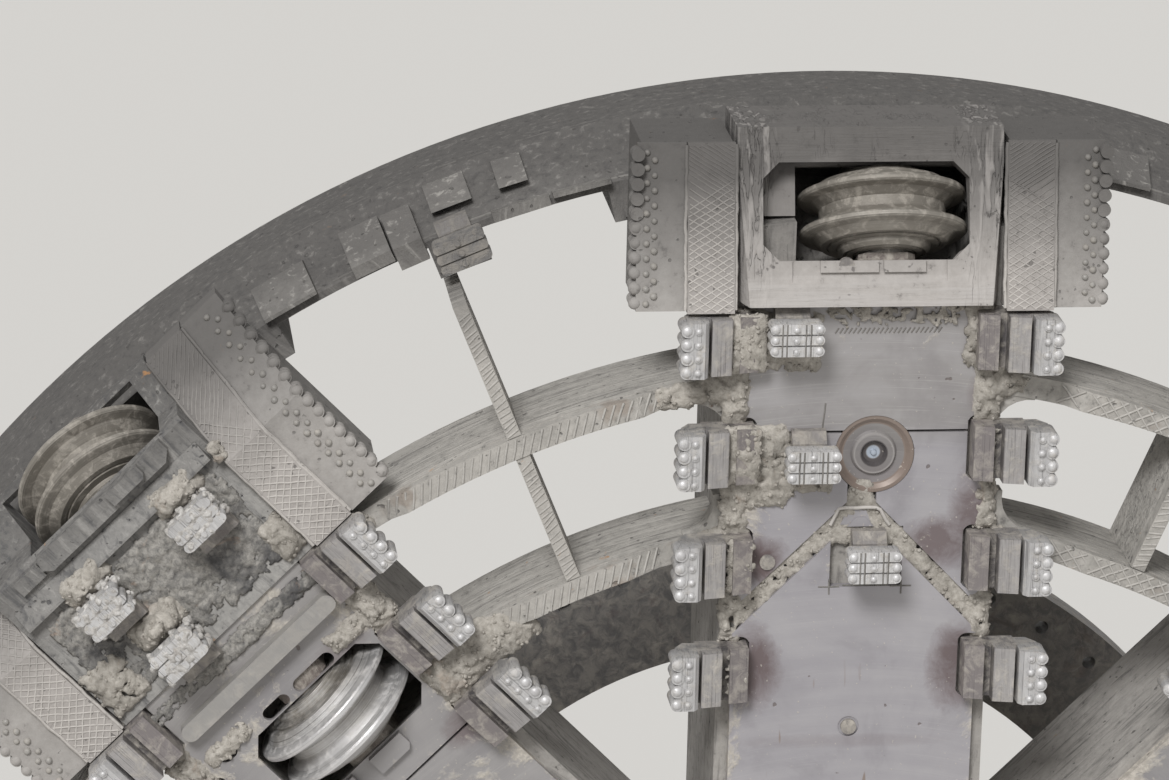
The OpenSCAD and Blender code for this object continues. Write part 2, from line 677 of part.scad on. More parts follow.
// Face plates of a nozzle spoke: upper plate, two side plates, the long house-shaped plate and a small weld plate
module face_plates_a() color("#8f8996") head() at_angles(a_angles) {
  difference() {
    along_depth(0, plate_t) difference() {
      translate([-plate_half, hub_apothem + 4]) square([plate_w, gauge_a_low - hub_apothem - 8]);
      scraper_notches(scrapers_a);
      translate([nozzle_x, nozzle_z]) circle(dish_r + 1);
      foam_channels();
      translate([-plate_half - 1, upper_low - plate_seam]) square([plate_w + 2, plate_seam]);
      for (side = [-1, 1]) translate([side * plate_half, upper_low]) rotate(45) square(64, center = true);
      translate([-80, rippers_a[2][1] - 106]) square([212, 184]);
    }
    translate([-7, 4, nozzle_z - 839]) rotate([90, 0, 0]) cylinder(r = 31, h = 10);
  }
  along_depth(4, plate_t) polygon([[-53, channel_top - 113], [38, channel_top - 113], [18, channel_top - 60],
    [-28, channel_top - 60]]);
}

// Dish with the nozzle's insert, its boss and the sloped floor round them
module nozzle_dishes() color("#7d7780") head() at_angles(a_angles) translate([nozzle_x, plate_t, nozzle_z])
  rotate([90, 0, 0]) rotate_extrude() polygon([[0, 0], [dish_r, 0], [dish_r, 27], [dish_r - 10, 27],
    [dish_r - 22, 18], [74, 13], [68, 12], [60, 24], [38, 24], [30, 8], [10, 6], [7, 15], [0, 16]]);

recess_slots = [[105, 150, 44], [-46, 96, 40], [-244, 60, 44]];

// Face plates of a cutter spoke: one round the face cutter, with slots over the clamps' bolts, and one below it
module face_plates_b() color("#857f7a") head() at_angles(b_angles) {
  difference() {
    along_depth(0, plate_t) difference() {
      translate([-plate_half, hub_apothem + 4]) square([plate_w, gauge_b_low - hub_apothem - 8]);
      scraper_notches(scrapers_b);
      translate([-plate_half - 1, face_c[2] - 290]) square([plate_w + 2, plate_seam]);
      for (slot = recess_slots) translate([slot[0], face_c[2] + window_low]) {
        square([slot[1] - slot[2], slot[2]], center = true);
        for (side = [-0.5, 0.5]) translate([side * (slot[1] - slot[2]), 0]) circle(slot[2] / 2);
      }
    }
    at_cutter(face_c) plate_window(window_low);
  }
  for (x = [[28, 122], [-150, 110]]) along_depth(-22, 0) translate([x[0], face_c[2] - window_low - 64])
    polygon([[0, 0], [x[1] - 14, 0], [x[1], 14], [x[1], 58], [0, 58]]);
}

// Polished wear bars across the cutter spokes, with rounded ends
wear_bar_z = gauge_b_low - 142;
wear_bar_in = -262;
wear_bar_len = 548;
wear_bar_r = 27;

module wear_bars() color("#b5b2ae") head() at_angles(b_angles) along_depth(-46, 0) {
  translate([wear_bar_in, wear_bar_z - wear_bar_r]) square([wear_bar_len, 2 * wear_bar_r]);
  for (x = [0, 1]) translate([wear_bar_in + x * wear_bar_len, wear_bar_z]) circle(wear_bar_r);
}

module on_all_cutter_places() {
  at_angles(a_angles) at_cutter(gauge_a) children();
  at_angles(b_angles) at_cutter(gauge_b) children();
  at_angles(b_angles) at_cutter(face_c) children();
  at_angles([0, 180]) at_cutter(centre_upright) children();
  at_angles([90, 270]) at_cutter(centre_flat) children();
}

shaft_flat = 50;

// End of a cutter shaft with its flat, grown by gap
module shaft_end(gap, h) intersection() {
  cylinder(r = shaft_r + gap, h = h);
  translate([-2 * shaft_r, -shaft_flat - gap, 0]) cube([4 * shaft_r, 4 * shaft_r, h]);
}

module cutter_shafts() color("#4e4a47") head() on_all_cutter_places() {
  cylinder(r = shaft_r, h = 2 * ring_axial, center = true);
  for (m = [0, 1]) mirror([0, 0, m]) shaft_end(0, ring_axial + clamp_t - 1);
}

module cutter_clamps() color("#7a736a") head() on_all_cutter_places()
  for (m = [0, 1]) mirror([0, 0, m]) difference() {
    translate([0, 0, ring_axial]) linear_extrude(clamp_t)
      polygon([[-clamp_half, 24 - clamp_rise], [24 - clamp_half, -clamp_rise], [clamp_half - 24, -clamp_rise],
        [clamp_half, 24 - clamp_rise], [clamp_half, pocket_back], [-clamp_half, pocket_back]]);
    translate([0, 0, ring_axial - 1]) shaft_end(seat, clamp_t + 2);
  }

// One cutter ring, in section from its cutting edge to its root
function ring_section(z) = [[disc_root_r, z - disc_root / 2], [disc_r - 34, z - disc_tip / 2 - 6],
  [disc_r - 5, z - disc_tip / 2], [disc_r, z - disc_tip / 2 + 5], [disc_r, z + disc_tip / 2 - 5],
  [disc_r - 5, z + disc_tip / 2], [disc_r - 34, z + disc_tip / 2 + 6], [disc_root_r, z + disc_root / 2]];

root_z = disc_spacing / 2 + disc_root / 2;
cap_z = disc_hub_len / 2;

// Hub end in section, from the shaft outwards: seal groove, cap groove, hub flange and retaining ring
function hub_end() = [[shaft_r + shaft_gap, -cap_z], [84, -cap_z], [84, 5 - cap_z], [91, 5 - cap_z], [91, -cap_z],
  [108, -cap_z], [110, 6 - cap_z], [116, 6 - cap_z], [118, 1 - cap_z], [disc_hub_r, 1 - cap_z],
  [disc_hub_r + 12, 11 - cap_z], [disc_hub_r + 14, -root_z - 5], [disc_root_r - 24, -root_z - 4],
  [disc_root_r - 24, 3 - root_z], [disc_root_r - 18, 3 - root_z], [disc_root_r - 18, -root_z]];

// Hub and two cutter rings, turned in one piece
module twin_cutter() rotate_extrude($fn = 96) polygon(concat(hub_end(), ring_section(-disc_spacing / 2),
  ring_section(disc_spacing / 2), [for (p = [len(hub_end()) - 1 : -1 : 0]) [hub_end()[p][0], -hub_end()[p][1]]]));

module cutter_at(angle, place) color("#96938d") head() rotate([0, angle, 0]) at_cutter(place) twin_cutter();

leg_foot_in = flange_bore_r - 70;
leg_foot_out = flange_r + 250;

// Drive legs between the nozzle spokes and the drive flange
module drive_legs() color("#6a655e") head() at_angles(a_angles)
  across([[spoke_back, leg_foot_in], [spoke_back, leg_foot_out], [spoke_back + 160, leg_foot_out - 60],
    [flange_front, flange_r - 40], [flange_front, flange_bore_r + 20], [spoke_back + 120, leg_foot_in + 20]],
    -leg_w / 2, leg_w / 2);

module drive_flange() color("#7c7871") head() difference() {
  ring_of([[flange_bore_r, flange_front], [flange_r, flange_front], [flange_r, head_depth], [flange_bore_r, head_depth]]);
  for (i = [0 : flange_bolts - 1]) rotate([0, (i + 0.5) * 360 / flange_bolts, 0])
    translate([0, flange_front - 1, flange_pcr]) rotate([-90, 0, 0]) cylinder(r = flange_hole_r, h = flange_t + 2);
}

mix_r = gauge_b_low - 312;
mix_len = 470;
mix_foot_r = 120;
mix_bar_r = 70;

// Mixing bars behind the cutter spokes
module mixing_bars() color("#79736a") head() at_angles(b_angles)
  translate([0, spoke_back, mix_r]) rotate([-90, 0, 0]) rotate_extrude() polygon([[0, 0], [mix_foot_r, 0],
    [mix_foot_r, 40], [mix_bar_r, 70], [mix_bar_r - 8, mix_len - 40], [mix_bar_r - 30, mix_len - 8], [0, mix_len]]);

coupling_r = 360;
coupling_len = 190;

coupling_neck = 225;
coupling_face = 315;
coupling_pcr = 270;
coupling_bolts = 12;
coupling_hole_r = 11;

// Stub with the bolted flange that takes the rotary joint
module rotary_coupling() color("#5f5a55") head() difference() {
  ring_of([[0, spoke_back], [coupling_r, spoke_back], [coupling_r, spoke_back + 60], [coupling_neck, spoke_back + 60],
    [coupling_neck, spoke_back + coupling_len - 40], [coupling_face, spoke_back + coupling_len - 40],
    [coupling_face, spoke_back + coupling_len], [0, spoke_back + coupling_len]]);
  for (i = [0 : coupling_bolts - 1]) rotate([0, (i + 0.5) * 360 / coupling_bolts, 0])
    translate([0, spoke_back + coupling_len - 41, coupling_pcr]) rotate([-90, 0, 0])
      cylinder(r = coupling_hole_r, h = 42);
}

pipe_r = 45;
pipe_x = leg_w / 2 + pipe_r + 12;
pipe_y = spoke_back + pipe_r + seat;

// Foam pipes along the rear of the nozzle spokes, beside the legs, across to the nozzle and into the spoke
module foam_pipes() color("#837d74") head() at_angles(a_angles) translate([0, pipe_y, 0]) {
  translate([pipe_x, 0, coupling_r]) cylinder(r = pipe_r, h = nozzle_z - coupling_r + 1.3 * pipe_r);
  translate([nozzle_x, 0, nozzle_z]) rotate([0, 90, 0]) cylinder(r = 0.85 * pipe_r, h = pipe_x - nozzle_x);
  translate([nozzle_x, -pipe_r, nozzle_z]) rotate([-90, 0, 0]) cylinder(r = 1.1 * pipe_r, h = 1.9 * pipe_r);
}

rim_ring();
rim_wear_blocks();
spokes_a();
spokes_b();
hub_box();
hub_cover();
middle_ring();
inner_ring();
radial_bars();
gauge_boxes_a();
gauge_boxes_b();
gauge_wings();
lattice_strips();
stud_plates();
scraper_holders();
scraper_blades();
ripper_bases();
ripper_heads();
face_plates_a();
nozzle_dishes();
face_plates_b();
wear_bars();
cutter_shafts();
cutter_clamps();
drive_legs();
drive_flange();
mixing_bars();
rotary_coupling();
foam_pipes();
cutter_at(a_angles[0], gauge_a);  // gauge_cutter_a1
cutter_at(a_angles[1], gauge_a);  // gauge_cutter_a2
cutter_at(a_angles[2], gauge_a);  // gauge_cutter_a3
cutter_at(a_angles[3], gauge_a);  // gauge_cutter_a4
cutter_at(b_angles[0], gauge_b);  // gauge_cutter_b1
cutter_at(b_angles[1], gauge_b);  // gauge_cutter_b2
cutter_at(b_angles[2], gauge_b);  // gauge_cutter_b3
cutter_at(b_angles[3], gauge_b);  // gauge_cutter_b4
cutter_at(b_angles[0], face_c);  // face_cutter_1
cutter_at(b_angles[1], face_c);  // face_cutter_2
cutter_at(b_angles[2], face_c);  // face_cutter_3
cutter_at(b_angles[3], face_c);  // face_cutter_4
cutter_at(0, centre_upright);  // centre_cutter_1
cutter_at(180, centre_upright);  // centre_cutter_2
cutter_at(90, centre_flat);  // centre_cutter_3
cutter_at(270, centre_flat);  // centre_cutter_4
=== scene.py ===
# Looks of a tunnel boring machine cutterhead: mud, wear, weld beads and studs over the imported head.
# Metres throughout. The head's axis is Y, its face looks towards -Y, and +Z is up along one nozzle spoke.
import json
import random
from math import cos, pi, radians, sin, sqrt

import bpy
from mathutils import Matrix, Vector


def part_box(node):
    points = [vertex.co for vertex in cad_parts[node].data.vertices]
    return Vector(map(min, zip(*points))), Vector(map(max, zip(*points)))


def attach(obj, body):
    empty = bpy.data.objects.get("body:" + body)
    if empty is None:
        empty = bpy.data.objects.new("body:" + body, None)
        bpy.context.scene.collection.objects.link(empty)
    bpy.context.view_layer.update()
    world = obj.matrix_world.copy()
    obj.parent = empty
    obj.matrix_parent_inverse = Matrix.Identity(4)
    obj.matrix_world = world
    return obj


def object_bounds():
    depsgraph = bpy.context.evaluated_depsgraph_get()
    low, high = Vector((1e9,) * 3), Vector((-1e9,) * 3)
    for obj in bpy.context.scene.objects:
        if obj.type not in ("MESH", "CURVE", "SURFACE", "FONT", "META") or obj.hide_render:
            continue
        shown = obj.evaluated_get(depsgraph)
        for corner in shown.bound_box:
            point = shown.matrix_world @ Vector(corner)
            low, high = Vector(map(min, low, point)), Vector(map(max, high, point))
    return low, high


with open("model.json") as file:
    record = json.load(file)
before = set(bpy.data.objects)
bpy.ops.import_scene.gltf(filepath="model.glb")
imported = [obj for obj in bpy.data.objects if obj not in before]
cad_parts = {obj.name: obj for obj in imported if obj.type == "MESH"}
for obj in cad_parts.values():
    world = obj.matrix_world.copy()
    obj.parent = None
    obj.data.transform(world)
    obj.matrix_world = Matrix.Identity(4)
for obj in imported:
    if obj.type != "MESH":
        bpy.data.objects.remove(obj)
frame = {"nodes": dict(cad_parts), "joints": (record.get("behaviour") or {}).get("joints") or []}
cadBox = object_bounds()
nodes = frame["nodes"]
print("frame:", len(nodes), "nodes")

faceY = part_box("face_plates_a")[0][1]  # plane of the face plates
nozzleSpokes = [0, 90, 180, 270]
cutterSpokes = [45, 135, 225, 315]


class Wire:
    # a socket that can be used in arithmetic
    def __init__(self, maker, socket):
        self.maker, self.socket = maker, socket

    def math(self, operation, other=0.0, first=None):
        inputs = {0: self if first is None else first, 1: other}
        return self.maker.node("ShaderNodeMath", {"operation": operation}, inputs)

    def __add__(self, other):
        return self.math("ADD", other)

    __radd__ = __add__

    def __sub__(self, other):
        return self.math("SUBTRACT", other)

    def __rsub__(self, other):
        return self.math("SUBTRACT", self, other)

    def __mul__(self, other):
        return self.math("MULTIPLY", other)

    def __pow__(self, other):
        return self.math("POWER", other)

    def high(self, other):
        return self.math("MAXIMUM", other)

    def low(self, other):
        return self.math("MINIMUM", other)


class Maker:
    # adds nodes to a tree; settings go in first, then values or wires
    def __init__(self, tree):
        self.tree = tree

    def node(self, kind, settings=None, inputs=None, output=0):
        made = self.tree.nodes.new(kind)
        for key, value in (settings or {}).items():
            setattr(made, key, value)
        for key, value in (inputs or {}).items():
            if isinstance(value, Wire):
                self.tree.links.new(value.socket, made.inputs[key])
            else:
                made.inputs[key].default_value = value
        return Wire(self, made.outputs[output])

    def vector(self, operation, a, b, output=0):
        return self.node("ShaderNodeVectorMath", {"operation": operation}, {0: a, 1: b}, output)

    def combine(self, x, y, z):
        return self.node("ShaderNodeCombineXYZ", {}, {0: x, 1: y, 2: z})

    def parts(self, place):
        outputs = self.node("ShaderNodeSeparateXYZ", {}, {0: place}).socket.node.outputs
        return [Wire(self, outputs[i]) for i in range(3)]

    def noise(self, place, scale, detail=3.0, roughness=0.55, distortion=0.0):
        return self.node("ShaderNodeTexNoise", {}, {"Vector": place, "Scale": scale, "Detail": detail,
                                                    "Roughness": roughness, "Distortion": distortion})

    def between(self, value, low, high, start=0.0, end=1.0):
        return self.node("ShaderNodeMapRange", {}, {0: value, 1: low, 2: high, 3: start, 4: end})

    def under(self, value, low, high):
        return self.between(value, low, high, 1.0, 0.0)


class Paint(Maker):
    # one material: a Principled shader, patterns on Object coordinates, and the color laid on so far
    def __init__(self, name, color, roughness=0.6, metallic=0.0, specular=0.5):
        self.material = bpy.data.materials.new(name)
        self.material.use_nodes = True
        super().__init__(self.material.node_tree)
        self.shader = self.tree.nodes["Principled BSDF"]
        for key, value in (("Roughness", roughness), ("Metallic", metallic), ("Specular IOR Level", specular)):
            self.shader.inputs[key].default_value = value
        self.place = self.node("ShaderNodeTexCoord", {}, {}, "Object")
        self.color = (*color, 1.0)

    def cloud(self, scale, detail=3.0, roughness=0.55, distortion=0.0):
        return self.noise(self.place, scale, detail, roughness, distortion)

    def drawn(self, place, stretch, detail, roughness, distortion=0.0):
        # noise stretched along an axis
        return self.noise(self.vector("MULTIPLY", place, stretch), 1.0, detail, roughness, distortion)

    def lay(self, factor, color):
        # covers the color so far, as far as the factor says
        inputs = {0: factor, 6: self.color, 7: (*color, 1.0)}
        self.color = self.node("ShaderNodeMix", {"data_type": "RGBA"}, inputs, 2)

    def feed(self, height, distance, **inputs):
        # wires the color, a bump and what else is given to the shader
        bump = self.node("ShaderNodeBump", {}, {"Strength": 1.0, "Distance": distance, "Height": height})
        for key, wire in {"Base Color": self.color, "Normal": bump, **inputs}.items():
            self.tree.links.new(wire.socket, self.shader.inputs[key])
        return self.material

    def spokeSpace(self):
        # side offset, depth and radius on the nearest spoke
        x, _, z = self.parts(self.place)
        turn = (x.math("ARCTAN2", z) * (4 / pi)).math("ROUND") * (-pi / 4)
        return self.node("ShaderNodeVectorRotate", {"rotation_type": "AXIS_ANGLE"},
                         {"Vector": self.place, "Axis": (0, 1, 0), "Angle": turn})

    def radius(self):
        x, _, z = self.parts(self.place)
        return (x * x + z * z).math("SQRT")


mud = {"pale": (0.5, 0.464, 0.412), "dry": (0.372, 0.342, 0.3)}
dark = (0.06, 0.056, 0.058)
rust = {"maroon": (0.112, 0.08, 0.08), "orange": (0.43, 0.215, 0.08), "brown": (0.205, 0.15, 0.112)}
# the head is painted darker towards its rim, as painted shade: start and end radius, strength, color
paintedRimShade = {"from": 2.88, "to": 3.25, "share": 0.86, "color": (0.079, 0.075, 0.072)}

# ground, light and deep tone of each caked surface
tones = {
    # the rim's tones are set darker than the rest, partly as painted shade
    "rim": ((0.185, 0.177, 0.168), (0.285, 0.272, 0.256), (0.07, 0.067, 0.066)),
    "block": ((0.34, 0.325, 0.304), (0.47, 0.45, 0.42), (0.13, 0.123, 0.118)),
    "box": ((0.262, 0.249, 0.233), (0.38, 0.36, 0.337), (0.1, 0.095, 0.092)),
    "ring": ((0.3, 0.287, 0.266), (0.47, 0.448, 0.415), (0.11, 0.105, 0.102)),
    "frame": ((0.34, 0.318, 0.3), (0.44, 0.415, 0.395), (0.12, 0.111, 0.107)),
    "strip": ((0.33, 0.308, 0.29), (0.43, 0.405, 0.385), (0.14, 0.131, 0.125)),
    "studPlate": ((0.305, 0.288, 0.272), (0.4, 0.382, 0.363), (0.145, 0.137, 0.131)),
    "body": ((0.262, 0.256, 0.246), (0.395, 0.382, 0.362), (0.07, 0.07, 0.074)),
    "rear": ((0.15, 0.142, 0.132), (0.235, 0.223, 0.208), (0.06, 0.057, 0.055)),
    "bead": ((0.42, 0.395, 0.37), (0.52, 0.494, 0.466), (0.23, 0.218, 0.206)),
}


def film(paint, tone, scale):
    # a dried film of fine mud over steel: cloudy, crumbly where thick, with small pits, and painted shade towards the
    # rim
    ground, light, deep = tone
    broad = paint.cloud(2.1 * scale, 4, 0.6, 0.3)
    fine = paint.cloud(31 * scale, 6, 0.68)
    grain = paint.cloud(190, 3, 0.7)
    paint.lay(paint.between(broad * 0.5 + fine * 0.5, 0.4, 0.62), light)
    paint.lay(paint.between(broad, 0.5, 0.68) * 0.5, ground)
    paint.lay(paint.under(fine, 0.28, 0.4) * 0.7, deep)
    paint.lay(paint.between(grain, 0.52, 0.72) * 0.3, light)
    pits = paint.between(paint.cloud(46 * scale, 1, 0.4), 0.72, 0.76)
    paint.lay(pits * 0.75, deep)
    # painted shade: the film darkens towards the rim, its edge broken up by the broad cloud
    outer = paint.radius() + (broad - 0.5) * 0.45
    paint.lay(paint.between(outer, paintedRimShade["from"], paintedRimShade["to"]) * paintedRimShade["share"], paintedRimShade["color"])
    return fine * 0.6 + grain * 0.25 - pits * 0.5


def cakedPaint(name, tone, rusty, depth, scale=1.0, extra=None):
    paint = Paint(name, tones[tone][0], roughness=0.84, specular=0.28)
    height = film(paint, tones[tone], scale)
    if extra:
        height = extra(paint, height, tones[tone])
    spots = paint.between(paint.cloud(13, 4, 0.72, 0.4), 0.68, 0.75)
    paint.lay(spots * rusty, rust["orange"])
    return paint.feed(height, depth)


def frameLines(paint, height, tone):
    # dragged ridges up the sides and over the window, and a scoured pale lower edge
    spoke = paint.spokeSpace()
    side, _, reach = paint.parts(spoke)
    drag = paint.drawn(spoke, (52, 24, 4.2), 3, 0.55, 0.8)
    some = paint.between(paint.drawn(spoke, (11, 9, 3.0), 2, 0.5), 0.46, 0.6)
    sides = paint.between(side.math("ABSOLUTE"), 0.262, 0.3)
    over = paint.between(reach, 3.225, 3.245)
    lines = paint.under((drag - 0.5).math("ABSOLUTE"), 0.003, 0.013) * some * sides.high(over * 0.45)
    flat = paint.drawn(spoke, (4, 50, 70), 4, 0.65)
    ledge = over.high(paint.under(reach, 2.885, 2.915))
    scour = paint.under(reach, 2.875, 2.925) * paint.between(flat, 0.38, 0.56)
    paint.lay(scour * 0.7, (0.425, 0.404, 0.388))
    paint.lay(paint.between(drag, 0.54, 0.66) * sides * 0.4, tone[1])
    paint.lay(lines * 0.85, tone[2])
    return height * 0.5 - lines * 0.9 + drag * sides * 1.1 + flat * ledge * 0.8


def ringCords(paint, height, tone):
    # cords of mud drawn round the rings' sides
    x, y, z = paint.parts(paint.place)
    along = paint.combine(paint.radius() * 62, y * 62, x.math("ARCTAN2", z) * 9)
    cord = paint.noise(along, 1.0, 4, 0.62, 0.6)
    back = paint.between(y, faceY + 0.03, faceY + 0.05)
    paint.lay(paint.under(cord, 0.32, 0.46) * 0.55 * back, tone[2])
    paint.lay(paint.between(cord, 0.5, 0.66) * 0.7 * back, tone[1])
    edge = paint.between(paint.cloud(5, 3, 0.6), 0.6, 0.66) * paint.under(y, faceY + 0.005, faceY + 0.035)
    paint.lay(edge * 0.45, rust["brown"])
    return height + cord * 1.3 * back


def boxDrips(paint, height, tone):
    # smears that run along the spokes' sides
    smear = paint.drawn(paint.spokeSpace(), (40, 46, 5), 5, 0.65, 0.4)
    paint.lay(paint.under(smear, 0.34, 0.47) * 0.65, tone[2])
    paint.lay(paint.between(smear, 0.56, 0.7) * 0.45, tone[1])
    return height + smear * 0.8


plateTones = {"upper": (0.3, 0.286, 0.276), "shade": (0.215, 0.202, 0.212), "scratch": (0.48, 0.466, 0.458),
              "deepScratch": (0.19, 0.178, 0.18), "pit": (0.12, 0.095, 0.088)}


def platePaint(name, base, light, mudLow, spots, drips=0.7, dish=None):
    # scoured plate: fine arcs round the head's axis, maroon patches and a thin broken film
    # each spot is side offset, radius on the spoke, half width, half height and strength
    paint = Paint(name, base, roughness=0.46, metallic=0.2)
    spoke = paint.spokeSpace()
    side, _, reach = paint.parts(spoke)
    r = paint.radius()
    scratch = paint.noise(paint.combine(r * 260, side * 2.5, 0.0), 1.0, 4, 0.75)
    band = paint.noise(paint.combine(r * 17, side * 1.6, 0.0), 1.0, 3, 0.6)
    cloud = paint.cloud(3.0, 5, 0.62, 0.5)
    high = paint.between(reach, 2.38, 2.46)  # the upper plate is browner and more scratched
    paint.lay(high * 0.8, plateTones["upper"])
    paint.lay(paint.between(cloud * 0.6 + band * 0.4, 0.42, 0.66) * 0.75, light)
    paint.lay(paint.under(cloud, 0.3, 0.46) * 0.45, plateTones["shade"])
    paint.lay(paint.between(scratch, 0.57, 0.7) * (high * 0.5 + 0.25), plateTones["scratch"])
    paint.lay(paint.under(scratch, 0.27, 0.4) * 0.22, plateTones["deepScratch"])
    ragged = (paint.cloud(14, 6, 0.7, 0.5) - 0.5) * 2.4
    stain = None
    for x, z, halfX, halfZ, force in spots:
        near = ((side - x) * (1 / halfX)) ** 2.0 + ((reach - z) * (1 / halfZ)) ** 2.0
        near = paint.between(near + ragged, 0.1, 1.6, force, 0.0)
        stain = near if stain is None else stain.high(near)
    paint.lay(stain, rust["maroon"])
    if dish:
        x, z, rings = dish
        near = ((side - x) ** 2.0 + (reach - z) ** 2.0) ** 0.5
        # a rust ring, a painted highlight ring, painted shade in the recess and the pin's own color
        for start, end, force, tone in rings:
            inside = paint.between(near, start, start + 0.003) * paint.under(near, end - 0.003, end)
            paint.lay(inside * force, tone)
    edge = paint.between(side.math("ABSOLUTE"), 0.285, 0.36, 0.0, 0.15)
    dirt = paint.between(paint.cloud(7.5, 6, 0.68, 0.35) + edge, mudLow, mudLow + 0.1)
    paint.lay(dirt * 0.9, mud["dry"])
    paint.lay(dirt * paint.between(paint.cloud(60, 4, 0.7), 0.45, 0.62), mud["pale"])
    drip = paint.between(paint.drawn(spoke, (34, 10, 6.5), 1, 0.4), 0.745, 0.775)
    paint.lay(drip * paint.under(reach, 1.55, 1.75) * drips, rust["brown"])
    specks = paint.between(paint.cloud(105, 1, 0.4), 0.735, 0.77) * 0.55
    paint.lay(specks, mud["pale"])
    pits = paint.between(paint.cloud(33, 1, 0.4), 0.765, 0.785)
    paint.lay(pits * 0.7, plateTones["pit"])
    return paint.feed(dirt * 0.8 + scratch * 0.1 + specks * 0.3 - pits * 0.4, 0.0022,
                      Roughness=paint.between(dirt + stain * 0.6, 0.0, 0.9, 0.44, 0.82),
                      Metallic=paint.between(dirt + stain, 0.0, 0.5, 0.22, 0.0))


def toolPaint(name, base, wornHighlight, dirty, rough, metallic, grooves=0.0, rusty=0.2, foot=None):
    # cast or forged tool steel: bright where the ground rubs, which is partly a painted highlight, mud in the hollows
    paint = Paint(name, base, roughness=rough, metallic=metallic)
    spoke = paint.spokeSpace()
    side, depth, _ = paint.parts(spoke)
    front = paint.under(depth, faceY - 0.125, faceY - 0.02)
    scuff = paint.drawn(spoke, (120, 50, 14), 4, 0.68)
    cloud = paint.cloud(13, 5, 0.65, 0.4)
    # bright steel on scuffs and front-most faces: partly wear, partly a painted highlight
    paint.lay(paint.between(scuff * 0.45 + cloud * 0.3 + front * 0.38, 0.46, 0.8), wornHighlight)
    if foot:  # where the foot ends, its color, and where the slot beside it starts
        end, tone, slot = foot
        wide = side.math("ABSOLUTE")
        low = paint.under(wide, end - 0.004, end + 0.004)
        paint.lay(low * 0.85, tone)
        paint.lay(low.low(paint.between(wide, slot - 0.003, slot + 0.003)) * 0.8, dark)
    if grooves:
        lines = paint.drawn(spoke, (300, 26, 4), 2, 0.6)
        paint.lay(paint.between(lines, 0.57, 0.67) * grooves, dark)
    dirt = paint.between(paint.cloud(24, 6, 0.72, 0.5) - front * 0.1, 0.4, 0.58) * dirty
    paint.lay(dirt, mud["dry"])
    paint.lay(dirt * paint.between(cloud, 0.5, 0.66), mud["pale"])
    brown = paint.between(paint.cloud(10, 5, 0.68, 0.8), 0.57, 0.67) * rusty
    paint.lay(brown, rust["maroon"])
    # painted shade: the tool steel darkens towards the rim
    outer = paint.between(paint.radius(), paintedRimShade["from"], paintedRimShade["to"])
    paint.lay(outer * paintedRimShade["share"] * 0.7, paintedRimShade["color"])
    return paint.feed(scuff * 0.35 + dirt * 0.65, 0.003,
                      Roughness=paint.between(dirt + brown, 0.0, 0.7, rough, 0.85),
                      Metallic=paint.between(dirt + brown, 0.0, 0.5, metallic, 0.0))


cutterTones = {"caked": (0.205, 0.188, 0.163), "polished": (0.64, 0.632, 0.63), "dull": (0.345, 0.325, 0.292),
               "groove": (0.085, 0.078, 0.072)}


def cutterPaint(name, centre, axis, shine):
    # turned cutter: lines round its own shaft, a bright edge and mud towards the hub
    paint = Paint(name, cutterTones["caked"], roughness=0.42, metallic=0.5)
    offset = paint.vector("SUBTRACT", paint.place, tuple(centre))
    axial = paint.vector("DOT_PRODUCT", offset, tuple(axis), 1)
    square = paint.vector("DOT_PRODUCT", offset, offset, 1)
    reach = (square - axial * axial).high(0.0).math("SQRT")
    turned = paint.noise(paint.combine(reach * 260, axial * 260, 0.0), 1.0, 4, 0.72)
    edge = paint.between(reach, 0.165, 0.238)
    bare = paint.cloud(8, 5, 0.62, 0.4) * 0.5 + turned * 0.28 + edge * 0.4 * shine + shine * 0.14
    bare = paint.between(bare, 0.44, 0.74)
    paint.lay(bare, cutterTones["polished" if shine > 0.5 else "dull"])
    dirt = paint.between(paint.cloud(27, 6, 0.72, 0.5), 0.48, 0.66) * (0.8 - 0.5 * shine)
    paint.lay(dirt, mud["dry"])
    paint.lay(paint.under(turned, 0.32, 0.44) * 0.5, cutterTones["groove"])
    return paint.feed(turned * 0.55 + dirt * 0.45, 0.0022,
                      Roughness=paint.between(dirt + (1 - bare) * 0.3, 0.0, 0.8, 0.36, 0.8),
                      Metallic=paint.between(dirt, 0.0, 0.4, 0.25 + 0.45 * shine, 0.0))


def mudPaint(name, ground, pale, deep, damp):
    paint = Paint(name, ground, roughness=0.93, specular=0.2)
    crumbs = paint.cloud(62, 6, 0.74, 0.4)
    grain = paint.cloud(260, 3, 0.6)
    paint.lay(paint.between(crumbs, 0.44, 0.64), pale)
    paint.lay(paint.under(crumbs, 0.28, 0.43) * 0.8, deep)
    paint.lay(paint.between(paint.cloud(6, 4, 0.6, 0.5), 0.48, 0.66) * damp, deep)
    paint.lay(paint.between(grain, 0.6, 0.75) * 0.35, pale)
    paint.lay(paint.between(paint.cloud(9, 4, 0.7, 0.6), 0.6, 0.7) * damp * 0.7, (0.33, 0.235, 0.175))
    return paint.feed(crumbs * 0.7 + grain * 0.3, 0.007)


plateSpotsA = [(-0.29, 2.045, 0.075, 0.07, 0.95), (0.33, 2.18, 0.06, 0.13, 0.85),
               (-0.3, 1.712, 0.075, 0.12, 0.9), (0.3, 1.712, 0.075, 0.12, 0.9),
               (0.235, 2.09, 0.11, 0.075, 0.85), (0.345, 2.54, 0.04, 0.06, 0.5),
               (0.345, 2.38, 0.03, 0.1, 0.8), (-0.02, 1.48, 0.3, 0.02, 0.25)]
plateSpotsB = [(0.3, 1.9, 0.07, 0.06, 0.7), (-0.3, 1.84, 0.08, 0.06, 0.6),
               (0.18, 2.33, 0.12, 0.04, 0.5)]
